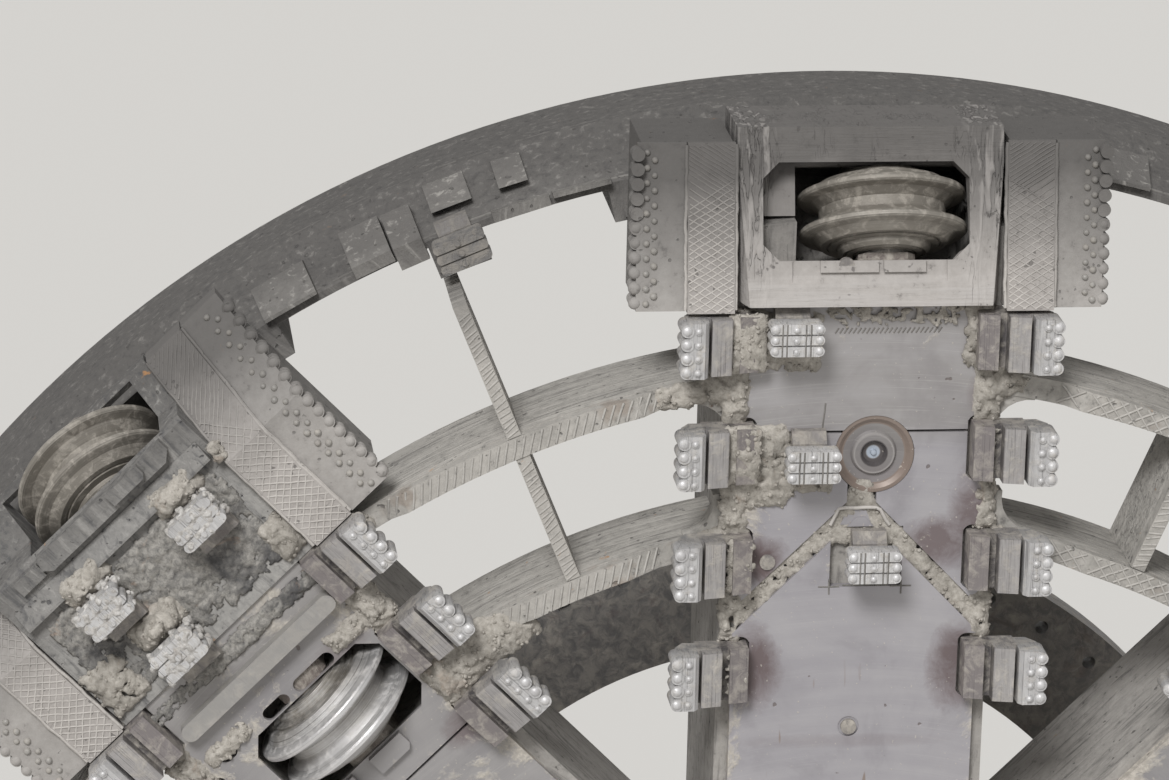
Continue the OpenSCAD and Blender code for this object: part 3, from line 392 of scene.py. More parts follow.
# rings of the nozzle dish: its centre on the spoke, then inner and outer radius, strength and color; the second ring
# is a painted highlight and the third is painted shade in the dish's recess
dishRingsAndPaintedLight = (0.038, 2.364, [(0.088, 0.125, 0.75, (0.215, 0.16, 0.128)), (0.054, 0.064, 0.5, (0.38, 0.362, 0.35)),
                            (0.02, 0.042, 0.9, (0.075, 0.066, 0.066)), (-0.01, 0.021, 0.9, (0.4, 0.45, 0.52))])
finishOf = {
    "rim_ring": cakedPaint("rimSteel", "rim", 0.15, 0.006, 1.0, boxDrips),
    "rim_wear_blocks": cakedPaint("blockSteel", "block", 0.1, 0.007, 1.0, boxDrips),
    "spokes_a": cakedPaint("spokeSteel", "box", 0.3, 0.006, 1.0, boxDrips),
    "gauge_wings": cakedPaint("wingSteel", "rim", 0.2, 0.006),
    "middle_ring": cakedPaint("ringSteel", "ring", 0.8, 0.006, 1.0, ringCords),
    "gauge_boxes_a": cakedPaint("frameSteel", "frame", 0.05, 0.005, 1.0, frameLines),
    "gauge_boxes_b": cakedPaint("bodySteel", "body", 0.7, 0.008, 1.2, boxDrips),
    "lattice_strips": cakedPaint("stripGround", "strip", 0.1, 0.004),
    "stud_plates": cakedPaint("studPlateSteel", "studPlate", 0.1, 0.003),
    "drive_legs": cakedPaint("rearSteel", "rear", 0.4, 0.003),
    "face_plates_a": platePaint("plateSteel", (0.325, 0.312, 0.332), (0.405, 0.392, 0.402), 0.635, plateSpotsA),
    "face_plates_b": platePaint("cutterSpokePlate", (0.27, 0.26, 0.262), (0.36, 0.345, 0.34), 0.535,
                                plateSpotsB, 0.4),
    "nozzle_dishes": platePaint("dishSteel", (0.205, 0.192, 0.186), (0.275, 0.26, 0.252), 0.62,
                                [(0.06, 2.3, 0.09, 0.03, 0.2)], 0.7, dishRingsAndPaintedLight),
    "scraper_holders": toolPaint("holderSteel", (0.2, 0.19, 0.188), (0.385, 0.368, 0.36), 0.55, 0.55, 0.2,
                                 0.6, 0.22, (0.399, (0.185, 0.164, 0.162), 0.376)),
    "ripper_bases": toolPaint("baseSteel", (0.205, 0.19, 0.182), (0.34, 0.32, 0.305), 0.65, 0.6, 0.15, 0.3, 0.3),
    "scraper_blades": toolPaint("bladeSteel", (0.26, 0.254, 0.253), (0.53, 0.523, 0.522), 0.55, 0.45, 0.35,
                                0.5, 0.1),
    "ripper_heads": toolPaint("carbideSteel", (0.235, 0.228, 0.225), (0.6, 0.593, 0.59), 0.75, 0.45, 0.3,
                              0.6, 0.1),
    "wear_bars": toolPaint("barSteel", (0.29, 0.28, 0.268), (0.36, 0.35, 0.338), 0.25, 0.5, 0.2, 0.0, 0.05),
    "cutter_shafts": toolPaint("shaftSteel", (0.12, 0.112, 0.108), (0.24, 0.225, 0.212), 0.6, 0.5, 0.3),
    "cutter_clamps": toolPaint("clampSteel", (0.165, 0.138, 0.124), (0.262, 0.238, 0.218), 0.75, 0.62, 0.15,
                               0.2, 0.5),
    "drive_flange": toolPaint("machinedSteel", (0.215, 0.21, 0.208), (0.36, 0.355, 0.35), 0.5, 0.5, 0.4,
                              0.0, 0.4),
}
for node, like in {"spokes_b": "spokes_a", "hub_box": "spokes_a", "inner_ring": "middle_ring",
                   "radial_bars": "middle_ring", "mixing_bars": "drive_legs", "foam_pipes": "drive_legs",
                   "hub_cover": "face_plates_a", "rotary_coupling": "drive_flange"}.items():
    finishOf[node] = finishOf[like]
shineOf = {"gauge": 0.15, "face": 0.95, "centre": 0.8}
for joint in frame["joints"]:
    node = joint["child"].replace("disc", "cutter")
    finishOf[node] = cutterPaint(node + "Steel", joint["pos_m"], joint["axis"], shineOf[node.split("_")[0]])
for node, finish in finishOf.items():
    for slot in nodes[node].material_slots:
        slot.material = finish
print("materials:", len(bpy.data.materials), "nodes without:", sorted(set(nodes) - set(finishOf)))


class Tree(Maker):
    # a Geometry Nodes tree with named inputs, and a material named Finish
    def __init__(self, name, inputs):
        super().__init__(bpy.data.node_groups.new(name, "GeometryNodeTree"))
        kinds = {float: "NodeSocketFloat", int: "NodeSocketInt"}
        interface = self.tree.interface
        interface.new_socket("Geometry", in_out="INPUT", socket_type="NodeSocketGeometry")
        for key, kind in inputs.items():
            interface.new_socket(key, in_out="INPUT", socket_type=kinds[kind])
        interface.new_socket("Finish", in_out="INPUT", socket_type="NodeSocketMaterial")
        interface.new_socket("Geometry", in_out="OUTPUT", socket_type="NodeSocketGeometry")
        self.entry = self.tree.nodes.new("NodeGroupInput")

    def __getitem__(self, name):
        return Wire(self, self.entry.outputs[name])

    def geo(self, kind, inputs=None, **settings):
        return self.node("GeometryNode" + kind, settings, inputs)

    def join(self, *pieces):
        joined = self.geo("JoinGeometry")
        for piece in pieces:
            self.tree.links.new(piece.socket, joined.socket.node.inputs[0])
        return joined

    def finish(self, geometry, smooth=True):
        real = self.node("GeometryNodeRealizeInstances", {}, {"Geometry": geometry})
        shaded = self.geo("SetShadeSmooth", {"Geometry": real, "Shade Smooth": smooth})
        colored = self.node("GeometryNodeSetMaterial", {}, {"Geometry": shaded, "Material": self["Finish"]})
        leave = self.tree.nodes.new("NodeGroupOutput")
        self.tree.links.new(colored.socket, leave.inputs[0])
        return self.tree


def jitter(tree, scale, seed):
    # a vector of noise about zero at each point
    moved = tree.vector("ADD", tree.geo("InputPosition"), seed)
    cloud = tree.node("ShaderNodeTexNoise", {}, {"Vector": moved, "Scale": scale, "Detail": 2.0}, 1)
    return tree.vector("SUBTRACT", cloud, (0.5, 0.5, 0.5))


def beadTree():
    # weld beads along the edges of a wire mesh
    tree = Tree("weldBeads", {"Bead radius": float, "Step": float, "Wobble": float, "Wobble scale": float,
                              "Sides": int, "Seed": float})
    curves = tree.geo("MeshToCurve", {"Mesh": tree["Geometry"]})
    curves = tree.geo("ResampleCurve", {"Curve": curves, "Length": tree["Step"]}, mode="LENGTH")
    shift = tree.vector("MULTIPLY", jitter(tree, tree["Wobble scale"], tree["Seed"]),
                        tree.combine(tree["Wobble"], tree["Wobble"] * 0.5, tree["Wobble"]))
    curves = tree.geo("SetPosition", {"Geometry": curves, "Offset": shift})
    swell = tree.noise(tree.geo("InputPosition"), tree["Wobble scale"] * 1.7, 2.0)
    curves = tree.geo("SetCurveRadius", {"Curve": curves, "Radius": tree.between(swell, 0.3, 0.7, 0.55, 1.35)})
    profile = tree.geo("CurvePrimitiveCircle", {"Resolution": tree["Sides"], "Radius": tree["Bead radius"]})
    return tree.finish(tree.geo("CurveToMesh", {"Curve": curves, "Profile Curve": profile, "Fill Caps": True}))


def studTree():
    # rounded studs on the points of a mesh, each a little different
    tree = Tree("studs", {"Stud radius": float, "Spread": float, "Seed": int})
    stud = tree.geo("MeshIcoSphere", {"Radius": tree["Stud radius"], "Subdivisions": 2})
    size = tree.node("FunctionNodeRandomValue", {"data_type": "FLOAT"},
                     {2: 1 - tree["Spread"], 3: 1 + tree["Spread"], "Seed": tree["Seed"]}, 1)
    return tree.finish(tree.geo("InstanceOnPoints", {"Points": tree["Geometry"], "Instance": stud, "Scale": size}))


def boltTree():
    # low round heads facing forward on the points of a mesh
    tree = Tree("bolts", {"Bolt radius": float, "Height": float})
    head = tree.geo("MeshCylinder", {"Vertices": 20, "Radius": tree["Bolt radius"], "Depth": tree["Height"] * 2.0},
                    fill_type="NGON")
    heads = tree.geo("InstanceOnPoints", {"Points": tree["Geometry"], "Instance": head,
                                          "Rotation": (pi / 2, 0.0, 0.0)})
    return tree.finish(heads, False)


def scatter(tree, whole, host):
    # adds small broken crumbs to a mud surface
    spots = tree.geo("DistributePointsOnFaces", {"Mesh": host, "Density": tree["Crumbs"], "Seed": 5})
    crumb = tree.geo("MeshIcoSphere", {"Radius": tree["Crumb size"], "Subdivisions": 1})
    size, turn = (tree.node("FunctionNodeRandomValue", {"data_type": "FLOAT_VECTOR"}, {0: low, 1: high, "Seed": seed})
                  for low, high, seed in (((0.35, 0.35, 0.35), (1.3, 1.0, 1.3), 6), ((0, 0, 0), (2 * pi,) * 3, 7)))
    crumbs = tree.geo("InstanceOnPoints", {"Points": spots, "Instance": crumb, "Scale": size, "Rotation": turn})
    return tree.join(whole, crumbs)


def crustTree():
    # a crust of mud that grows out of flat patches and sinks back at their borders
    tree = Tree("mudCrust", {"Level": int, "Height": float, "Lump scale": float, "Crumb scale": float,
                             "Cover": float, "Sink": float, "Seed": float, "Crumbs": float,
                             "Crumb size": float})
    sheet = tree.geo("SubdivideMesh", {"Mesh": tree["Geometry"], "Level": tree["Level"]})
    moved = tree.vector("ADD", tree.geo("InputPosition"), tree["Seed"])
    lumps = tree.noise(moved, tree["Lump scale"], 3.0, 0.6)
    crumbs = tree.noise(moved, tree["Crumb scale"], 5.0, 0.75)
    fill, rise = (tree.geo("InputNamedAttribute", {"Name": name}, data_type="FLOAT") for name in ("fill", "high"))
    high = lumps * 1.2 + crumbs * 1.5 - 1.35 + tree["Cover"] + (fill - 1) * 1.1
    high = high.low(0.75) * tree["Height"]
    kept = tree.geo("StoreNamedAttribute", {"Geometry": sheet, "Name": "high", "Value": high},
                    data_type="FLOAT", domain="POINT")
    raised = tree.geo("SetPosition", {"Geometry": kept, "Offset": tree.combine(0.0, rise * -1.0, 0.0)})
    low = tree.node("FunctionNodeCompare", {"data_type": "FLOAT", "operation": "LESS_THAN"},
                    {0: rise, 1: tree["Sink"] * -1.0})
    bare = tree.geo("DeleteGeometry", {"Geometry": raised, "Selection": low}, domain="POINT")
    walls = tree.geo("ExtrudeMesh", {"Mesh": bare, "Offset": (0.0, 1.0, 0.0), "Offset Scale": tree["Sink"],
                                     "Individual": False}, mode="FACES")
    joined = tree.join(bare, tree.geo("FlipFaces", {"Mesh": walls}))
    closed = tree.geo("MergeByDistance", {"Geometry": joined, "Distance": 0.0001})
    return tree.finish(scatter(tree, closed, bare))


def massTree():
    # lumps of mud that flow together: points with a radius become one skin, roughened by noise
    tree = Tree("mudMasses", {"Voxel": float, "Roughness": float, "Roughness scale": float, "Seed": float,
                              "Crumbs": float, "Crumb size": float})
    size = tree.geo("InputNamedAttribute", {"Name": "size"}, data_type="FLOAT")
    points = tree.geo("MeshToPoints", {"Mesh": tree["Geometry"], "Radius": size})
    volume = tree.geo("PointsToVolume", {"Points": points, "Voxel Size": tree["Voxel"], "Radius": size},
                      resolution_mode="VOXEL_SIZE")
    skin = tree.geo("VolumeToMesh", {"Volume": volume, "Adaptivity": 0.0})
    for share, scale in ((1.0, 1.0), (0.55, 2.4)):
        shift = tree.node("ShaderNodeVectorMath", {"operation": "SCALE"}, {
            0: jitter(tree, tree["Roughness scale"] * scale, tree["Seed"]), "Scale": tree["Roughness"] * share})
        skin = tree.geo("SetPosition", {"Geometry": skin, "Offset": shift})
    return tree.finish(scatter(tree, skin, skin))


def put(name, data):
    made = bpy.data.objects.new(name, data)
    bpy.context.scene.collection.objects.link(made)
    return made


def apply(name, tree, slot, inputs, verts, edges=(), faces=(), attributes=None):
    # runs a tree on a small guide mesh and keeps the result as a plain mesh that rides on the head
    guide = bpy.data.meshes.new(name + "Guide")
    guide.from_pydata([Vector(v) for v in verts], edges, faces)
    for key, values in (attributes or {}).items():
        guide.attributes.new(key, "FLOAT", "POINT").data.foreach_set("value", values)
    holder = put(name + "Guide", guide)
    modifier = holder.modifiers.new("build", "NODES")
    modifier.node_group = tree
    for item in tree.interface.items_tree:
        if item.in_out == "INPUT" and item.name in inputs:
            modifier[item.identifier] = inputs[item.name]
    graph = bpy.context.evaluated_depsgraph_get()
    mesh = bpy.data.meshes.new_from_object(holder.evaluated_get(graph), depsgraph=graph)
    mesh.name = name
    bpy.data.objects.remove(holder)
    piece = put(name, mesh)
    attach(piece, "head")
    print(name + ":", sum(len(p.vertices) - 2 for p in mesh.polygons), "triangles")


def onSpoke(angle, x, depth, z):
    # a place on a spoke, given as side offset, depth behind the face plates and radius, in millimetres
    a = radians(angle)
    x, z = x / 1000, z / 1000
    return Vector((x * cos(a) + z * sin(a), faceY + depth / 1000, z * cos(a) - x * sin(a)))


def onRing(a, depth, r):
    return r / 1000 * sin(a), faceY + depth / 1000, r / 1000 * cos(a)


def wires(lines):
    # corners and edges of open lines of points
    verts, edges = [], []
    for line in lines:
        start = len(verts)
        verts += line
        edges += [(start + i, start + i + 1) for i in range(len(line) - 1)]
    return verts, edges


beads, studs, bolts, crust, masses = beadTree(), studTree(), boltTree(), crustTree(), massTree()
print("geometry trees ready")

# front surfaces of the wear strips and studded plates, as radius and depth on the spoke's own axis, in millimetres
gauge = {
    "stripX": (392, 528), "studFar": 672, "studPitch": 43, "stripLowA": 2812, "stripLowB": 2615, "wearTop": 3290,
    "foldR": 2975, "foldSlope": 260 / 315, "stripHeightA": 100, "stripHeightB": 76,
    "studHeightA": 70, "studHeightB": 60, "frontA": 30, "tipA": 12,
}


def wedgeDepth(z, height):
    low, top = gauge["stripLowA"], gauge["wearTop"]
    return gauge["frontA"] - height + (z - low) * (height - gauge["tipA"]) / (top - low)


def foldedDepth(z, height):
    return gauge["frontA"] - height + max(0, z - gauge["foldR"]) * gauge["foldSlope"]


def gaugeParts(part):
    # kind of spoke, its angles, lower end and depth of surface for one part of the gauge zone
    return (("A", nozzleSpokes, gauge["stripLowA"], lambda z: wedgeDepth(z, gauge[part + "HeightA"])),
            ("B", cutterSpokes, gauge["stripLowB"], lambda z: foldedDepth(z, gauge[part + "HeightB"])))


# pitch along the spoke, rise over run, and the radius where crossed beads end
lattice = {"A": (21, 0.62, 3110), "B": (27, 0.9, 2990), "denser": 0.6, "sunk": 0.6, "radius": 0.0029, "margin": 4}


def stripLattice():
    # diamond lattice of weld beads on the wear strips, turning into close parallel beads towards the rim
    lines = []
    x1, x2 = gauge["stripX"]
    x1, x2 = x1 + lattice["margin"], x2 - lattice["margin"]
    for kind, family, low, depth in gaugeParts("strip"):
        low, top = low + lattice["margin"], gauge["wearTop"] - lattice["margin"]
        pitch, slope, crossed = lattice[kind]
        rise = (x2 - x1) * slope
        for angle in family:
            for mirror in (1, -1):
                for lean in (1, -1):
                    z = low - rise + pitch / 2
                    while z < (top if lean > 0 else crossed):
                        radii, line = [max(low, z), min(top, z + rise)], []
                        if radii[0] < gauge["foldR"] < radii[1] and kind == "B":
                            radii.insert(1, gauge["foldR"])
                        for r in radii:
                            t = (r - z) / rise
                            x = x1 + (x2 - x1) * (t if lean > 0 else 1 - t)
                            line.append(onSpoke(angle, mirror * x, depth(r) + lattice["sunk"], r))
                        lines.append(line)
                        z += pitch * (lattice["denser"] if lean > 0 and z > crossed else 1)
    return lines


beadFinish = cakedPaint("weldBead", "bead", 0.0, 0.002, 2.0)
apply("strip_lattice", beads, "hardfacing",
      {"Bead radius": lattice["radius"], "Step": 0.024, "Wobble": 0.01, "Wobble scale": 26.0, "Sides": 5,
       "Seed": 3.0, "Finish": beadFinish}, *wires(stripLattice()))

# columns as distance from the plate's outer edge and start in pitches; how much nearer the middle on cutter spokes
knuckleRows = {"columns": ((-2, 0.5),), "inward": 0, "sunk": 12, "topMargin": 21.5, "radius": 0.0195}
studRows = {"columns": ((28, 0.5), (50, 1.0)), "inward": 14, "sunk": 0, "topMargin": 12, "radius": 0.01}


def studPoints(rows):
    verts = []
    for kind, family, low, depth in gaugeParts("stud"):
        for angle in family:
            for mirror in (1, -1):
                for inset, start in rows["columns"]:
                    x = gauge["studFar"] - inset - rows["inward"] * (kind == "B")
                    z = low + gauge["studPitch"] * start
                    while z < gauge["wearTop"] - rows["topMargin"]:
                        verts.append(onSpoke(angle, mirror * x, depth(z) + rows["sunk"], z))
                        z += gauge["studPitch"]
    return verts


studFinish = toolPaint("studCarbide", (0.31, 0.298, 0.28), (0.48, 0.468, 0.45), 0.5, 0.5, 0.15)
apply("gauge_knuckles", studs, "hardfacing",
      {"Stud radius": knuckleRows["radius"], "Spread": 0.06, "Seed": 6, "Finish": finishOf["stud_plates"]},
      studPoints(knuckleRows))
apply("gauge_studs", studs, "hardfacing",
      {"Stud radius": studRows["radius"], "Spread": 0.12, "Seed": 4, "Finish": studFinish}, studPoints(studRows))

# worn ends of the tools' knuckles; heads are side offset, radius on the spoke and depth of their seat
blades = {"rowsA": (2717, 2382, 2047, 1712), "rowsB": (2528, 2210, 1892), "pitch": 41, "knuckleX": 534,
          "buttonX": 502, "headPitch": 32}
headsA = [(-221, 2752, 0), (-159, 2372, 0), (28, 2066, 0)]
headsInner = [(120, 1430, 0), (-120, 1220, 0)]


def domes(side, depth):
    return [onSpoke(angle, mirror * side, depth, row + (i - 1.5) * blades["pitch"])
            for family, rows in ((nozzleSpokes, blades["rowsA"]), (cutterSpokes, blades["rowsB"]))
            for angle in family for mirror in (1, -1) for row in rows for i in range(4)]


def headPoints(sides, depth):
    places = [(a, *p) for a in nozzleSpokes for p in headsA] + [(a, *p) for a in cutterSpokes for p in headsInner]
    return [onSpoke(a, x + side, top + depth, z + row * blades["headPitch"])
            for a, x, z, top in places for side in sides for row in (-1, 0, 1)]


domeFinish = toolPaint("knuckleSteel", (0.295, 0.288, 0.286), (0.585, 0.578, 0.58), 0.55, 0.46, 0.3)
for name, points, radius, spread in (("blade_knuckles", domes(blades["knuckleX"], -122), 0.018, 0.06),
                                     ("blade_buttons", domes(blades["buttonX"], -131), 0.0092, 0.15),
                                     ("head_knuckles", headPoints((-63, 63), -138), 0.0142, 0.08),
                                     ("head_buttons", headPoints((-4,), -147), 0.0085, 0.12)):
    apply(name, studs, "carbide_steel", {"Stud radius": radius, "Spread": spread, "Seed": 8, "Finish": domeFinish},
          points)

# inner radius, half angle and ramp of the rings' wear pads; pitch, slant and leans of the beads across them
ring = {"middle": (2568, 8.1, 66), "inner": (2101, 3.9, 110), "width": 66, "padDepth": -18, "baseDepth": 20,
        "crossed": (42, 42, (1, -1)), "ladder": (26, 20, (1,)), "spread": 1.6, "radius": 0.0038,
        "bars": ((2172, 2564), (2640, 3056)), "barDepth": -13.4, "barHalf": 18}


def ringLattice():
    # beads across the rings' wear pads: a ladder in one bay, a lattice in the next; short beads on the bars
    lines = []
    for r1, half, ramp in (ring["middle"], ring["inner"]):
        r2, flat = r1 + ring["width"], r1 * sin(radians(half))
        for bay in range(8):
            pitch, slant, leans = ring["ladder" if bay % 2 else "crossed"]
            count = int(2 * (flat + ramp) / pitch)
            for lean in leans:
                for i in range(count):
                    t = -flat - ramp + 2 * (flat + ramp) * (i + 0.5) / count
                    line = []
                    for r, shift in ((r1 + 5, -0.5), (r2 - 5, 0.5)):
                        u = t + lean * shift * slant * ring["spread"]
                        over = max(0, abs(u) - flat) / ramp
                        depth = ring["padDepth"] + min(1, over) * (ring["baseDepth"] - ring["padDepth"])
                        angle = pi / 8 + bay * pi / 4 + u / (r1 + ring["width"] / 2)
                        line.append(onRing(angle, depth - 0.4, r))
                    lines.append(line)
    for low, top in ring["bars"]:
        for bay in range(8):
            z, angle, chance = low, 22.5 + 45 * bay, random.Random(bay)
            while z < top - 20:
                up = chance.uniform(8, 20)
                lines.append([onSpoke(angle, -ring["barHalf"], ring["barDepth"], z),
                              onSpoke(angle, ring["barHalf"], ring["barDepth"], z + up)])
                z += chance.uniform(13, 24)
    return lines


ringBeadFinish = cakedPaint("ringBead", "block", 0.5, 0.003, 1.5)
apply("ring_beads", beads, "ring_beam_steel",
      {"Bead radius": ring["radius"], "Step": 0.022, "Wobble": 0.008, "Wobble scale": 24.0, "Sides": 5,
       "Seed": 9.0, "Finish": ringBeadFinish}, *wires(ringLattice()))

# rows of short welds as radius and depth; none nearer to a spoke's middle than clear
rimWelds = {"rows": ((3296, 560), (3186, 316)), "dash": 105, "gap": 38, "clear": 690, "radius": 0.0055}


def rimDashes():
    lines = []
    for r, depth in rimWelds["rows"]:
        step = (rimWelds["dash"] + rimWelds["gap"]) / r
        for i in range(int(2 * pi / step)):
            a = i * step
            if abs((a + pi / 8) % (pi / 4) - pi / 8) * r >= rimWelds["clear"]:
                lines.append([onRing(a + k / 2 * rimWelds["dash"] / r, depth, r) for k in range(3)])
    return lines


apply("rim_welds", beads, "caked_steel",
      {"Bead radius": rimWelds["radius"], "Step": 0.03, "Wobble": 0.006, "Wobble scale": 22.0, "Sides": 5,
       "Seed": 5.0, "Finish": ringBeadFinish}, *wires(rimDashes()))

# polylines of weld on one spoke, as side offset, depth and radius; mirrored when the first entry says so
seamsA = [
    (True, (388, -58, 2818), (388, 20, 3284)), (True, (532, -56, 2818), (532, 18, 3284)),
    (False, (-84, 0, 2149), (-58, 0, 2202), (60, 0, 2202), (90, 0, 2149)),
]
seamsB = [
    (True, (388, -40, 2622), (388, -36, 2975), (388, 222, 3284)),
    (True, (532, -38, 2622), (532, -36, 2975), (532, 222, 3284)),
    (True, (530, -42, 2640), (530, -40, 2975), (530, 216, 3270)),
]
seamLines = [[onSpoke(angle, mirror * x, depth, z) for x, depth, z in points]
             for family, seams in ((nozzleSpokes, seamsA), (cutterSpokes, seamsB)) for angle in family
             for mirrored, *points in seams for mirror in ((1, -1) if mirrored else (1,))]
apply("seam_welds", beads, "hardfacing",
      {"Bead radius": 0.0058, "Step": 0.018, "Wobble": 0.01, "Wobble scale": 26.0, "Sides": 6, "Seed": 1.0,
       "Finish": beadFinish}, *wires(seamLines))

hatch = {"fromX": -90, "toX": 215, "pitch": 13, "lean": 10, "low": 2729, "high": 2745, "depth": 0.5}
tacks = [((-80, 1936), (-80, 1984)), ((-112, 1960), (-50, 1960)), ((132, 1936), (132, 1984)),
         ((100, 1960), (162, 1960)), ((-117, 2437), (-110, 2520)), ((-150, 2640), (-150, 2700)),
         ((-40, 1964), (92, 1964))]
headGrooves = {"sides": (-43, -30, 24, 38), "depth": -144.6, "half": 47}


def hatchMarks():
    # a row of close dark weld marks on the upper plate, tacks, and lines across the ripper heads
    lines = []
    for angle in nozzleSpokes:
        marks, x = [], hatch["fromX"]
        while x < hatch["toX"]:
            marks.append(((x, hatch["low"]), (x + hatch["lean"], hatch["high"])))
            x += hatch["pitch"]
        lines += [[onSpoke(angle, x, hatch["depth"], z) for x, z in ends] for ends in marks + tacks]
        lines += [[onSpoke(angle, x + side, top + headGrooves["depth"], z + end * headGrooves["half"])
                   for end in (-1, 1)] for x, z, top in headsA for side in headGrooves["sides"]]
    return lines


apply("hatch_marks", beads, "plate_steel",
      {"Bead radius": 0.0026, "Step": 0.01, "Wobble": 0.003, "Wobble scale": 40.0, "Sides": 5, "Seed": 2.0,
       "Finish": cakedPaint("darkBead", "rear", 0.1, 0.002, 2.0)}, *wires(hatchMarks()))

# bolt heads as side offset, depth and radius on the spoke
boltPlaces = {"A": [(-72, -42, 2944), (-264, 0, 2040), (-7, 0, 1525)], "B": [(150, 0, 1700), (-150, 0, 1700)]}
apply("bolt_heads", bolts, "holder_steel",
      {"Bolt radius": 0.023, "Height": 0.007, "Finish": finishOf["ripper_bases"]},
      [onSpoke(a, *p) for kind, family in (("A", nozzleSpokes), ("B", cutterSpokes))
       for a in family for p in boltPlaces[kind]])


def patches(spokes, rows):
    # flat guide patches: each row is x1, x2, z1, z2, depth and cells across and along; fill is 0 at the border
    verts, faces, fill = [], [], []
    for angle in spokes:
        for x1, x2, z1, z2, depth, nx, nz in rows:
            start = len(verts)
            for j in range(nz + 1):
                for i in range(nx + 1):
                    verts.append(onSpoke(angle, x1 + (x2 - x1) * i / nx, depth, z1 + (z2 - z1) * j / nz))
                    fill.append(0.0 if i in (0, nx) or j in (0, nz) else 1.0)
            for j in range(nz):
                for i in range(nx):
                    a = start + j * (nx + 1) + i
                    faces.append((a, a + 1, a + nx + 2, a + nx + 1))
    return verts, faces, fill


# crust on the gauge bodies of the cutter spokes, from the middle ring to the sloping band
verts, faces, fill = patches(cutterSpokes, [(-382, 382, 2606, 3030, -12, 14, 8), (-376, 376, 2498, 2612, 0, 14, 3)])
crustFinish = mudPaint("dampMudCrust", (0.228, 0.22, 0.206), (0.395, 0.376, 0.346), (0.058, 0.058, 0.063), 0.8)
apply("body_crust", crust, "caked_steel",
      {"Level": 3, "Height": 0.036, "Lump scale": 8.0, "Crumb scale": 36.0, "Cover": 0.12, "Sink": 0.004,
       "Seed": 2.0, "Crumbs": 2400.0, "Crumb size": 0.0065, "Finish": crustFinish},
      verts, [], faces, {"fill": fill})

# heaps of mud: x1, x2, z1, z2, depth of the surface, height of the heap, size of its lumps, how many
heapsA = [
    (-392, -130, 2626, 2796, 6, 28, 15, 560), (-398, -338, 2462, 2634, 14, 30, 16, 240),
    (-372, -212, 2214, 2452, 4, 30, 16, 560), (-212, -84, 2252, 2318, 4, 18, 12, 120),
    (-398, -322, 2118, 2298, 16, 24, 15, 200), (-396, -336, 1796, 1960, 16, 20, 13, 150),
    (290, 360, 2626, 2812, 2, 22, 13, 160), (322, 398, 2466, 2634, 14, 26, 15, 240),
    (336, 398, 2130, 2296, 16, 20, 13, 150), (340, 398, 1796, 1958, 16, 22, 13, 150),
    (-120, 330, 2752, 2820, 2, 12, 9, 420), (-80, 130, 2084, 2146, 22, 16, 11, 200),
    (-404, -300, 2638, 2796, -52, 16, 14, 330), (-398, -306, 2300, 2464, -50, 14, 13, 300),
    (-392, -316, 1968, 2126, -52, 8, 11, 150), (-380, -320, 1640, 1780, -56, 5, 9, 70),
    (340, 392, 2400, 2460, -56, 8, 8, 30), (-392, -340, 1630, 1720, 10, 18, 12, 60),
]
heapsB = [
    (326, 400, 2288, 2448, 14, 40, 19, 200), (318, 400, 1972, 2132, 14, 46, 20, 220),
    (-400, -326, 2288, 2448, 14, 34, 17, 180), (-400, -326, 1972, 2130, 14, 34, 17, 180),
    (196, 326, 2330, 2376, 2, 22, 13, 150), (-300, -150, 2330, 2376, 2, 18, 12, 150),
    (146, 292, 2978, 3046, -14, 66, 17, 200), (-222, -78, 2976, 3044, -14, 66, 17, 200),
    (-168, -20, 2736, 2806, -14, 84, 18, 260), (-372, -250, 2640, 2800, -12, 22, 15, 150),
    (300, 376, 2640, 2760, -12, 28, 16, 130), (340, 374, 2490, 2514, 0, 22, 12, 14),
    (376, 400, 2990, 3040, -20, 40, 14, 40),
]
# mud on the rings beside the spokes: x1, x2 and radii on the ring, depth, height, size, how many
cornersA = [(-650, -398, 2556, 2642, 20, 30, 21, 170), (-530, -398, 2080, 2176, 20, 32, 20, 120),
            (398, 480, 2564, 2638, 20, 26, 19, 60), (398, 500, 2090, 2172, 20, 24, 18, 60)]
cornersB = [(398, 650, 2016, 2178, 20, 52, 26, 520), (398, 540, 2560, 2642, 20, 36, 22, 120),
            (-520, -398, 2070, 2174, 20, 34, 22, 140), (-560, -398, 2570, 2640, 20, 30, 20, 120)]
# bands of mud in the foam channels: x1, z1 to x2, z2, width, depth, height, size, how many
bandsA = [(10, 2215, 350, 1866, 64, 20, 12, 11, 560), (-10, 2215, -350, 1866, 64, 20, 12, 11, 560),
          (6, 2280, 6, 2215, 64, 20, 10, 11, 110)]


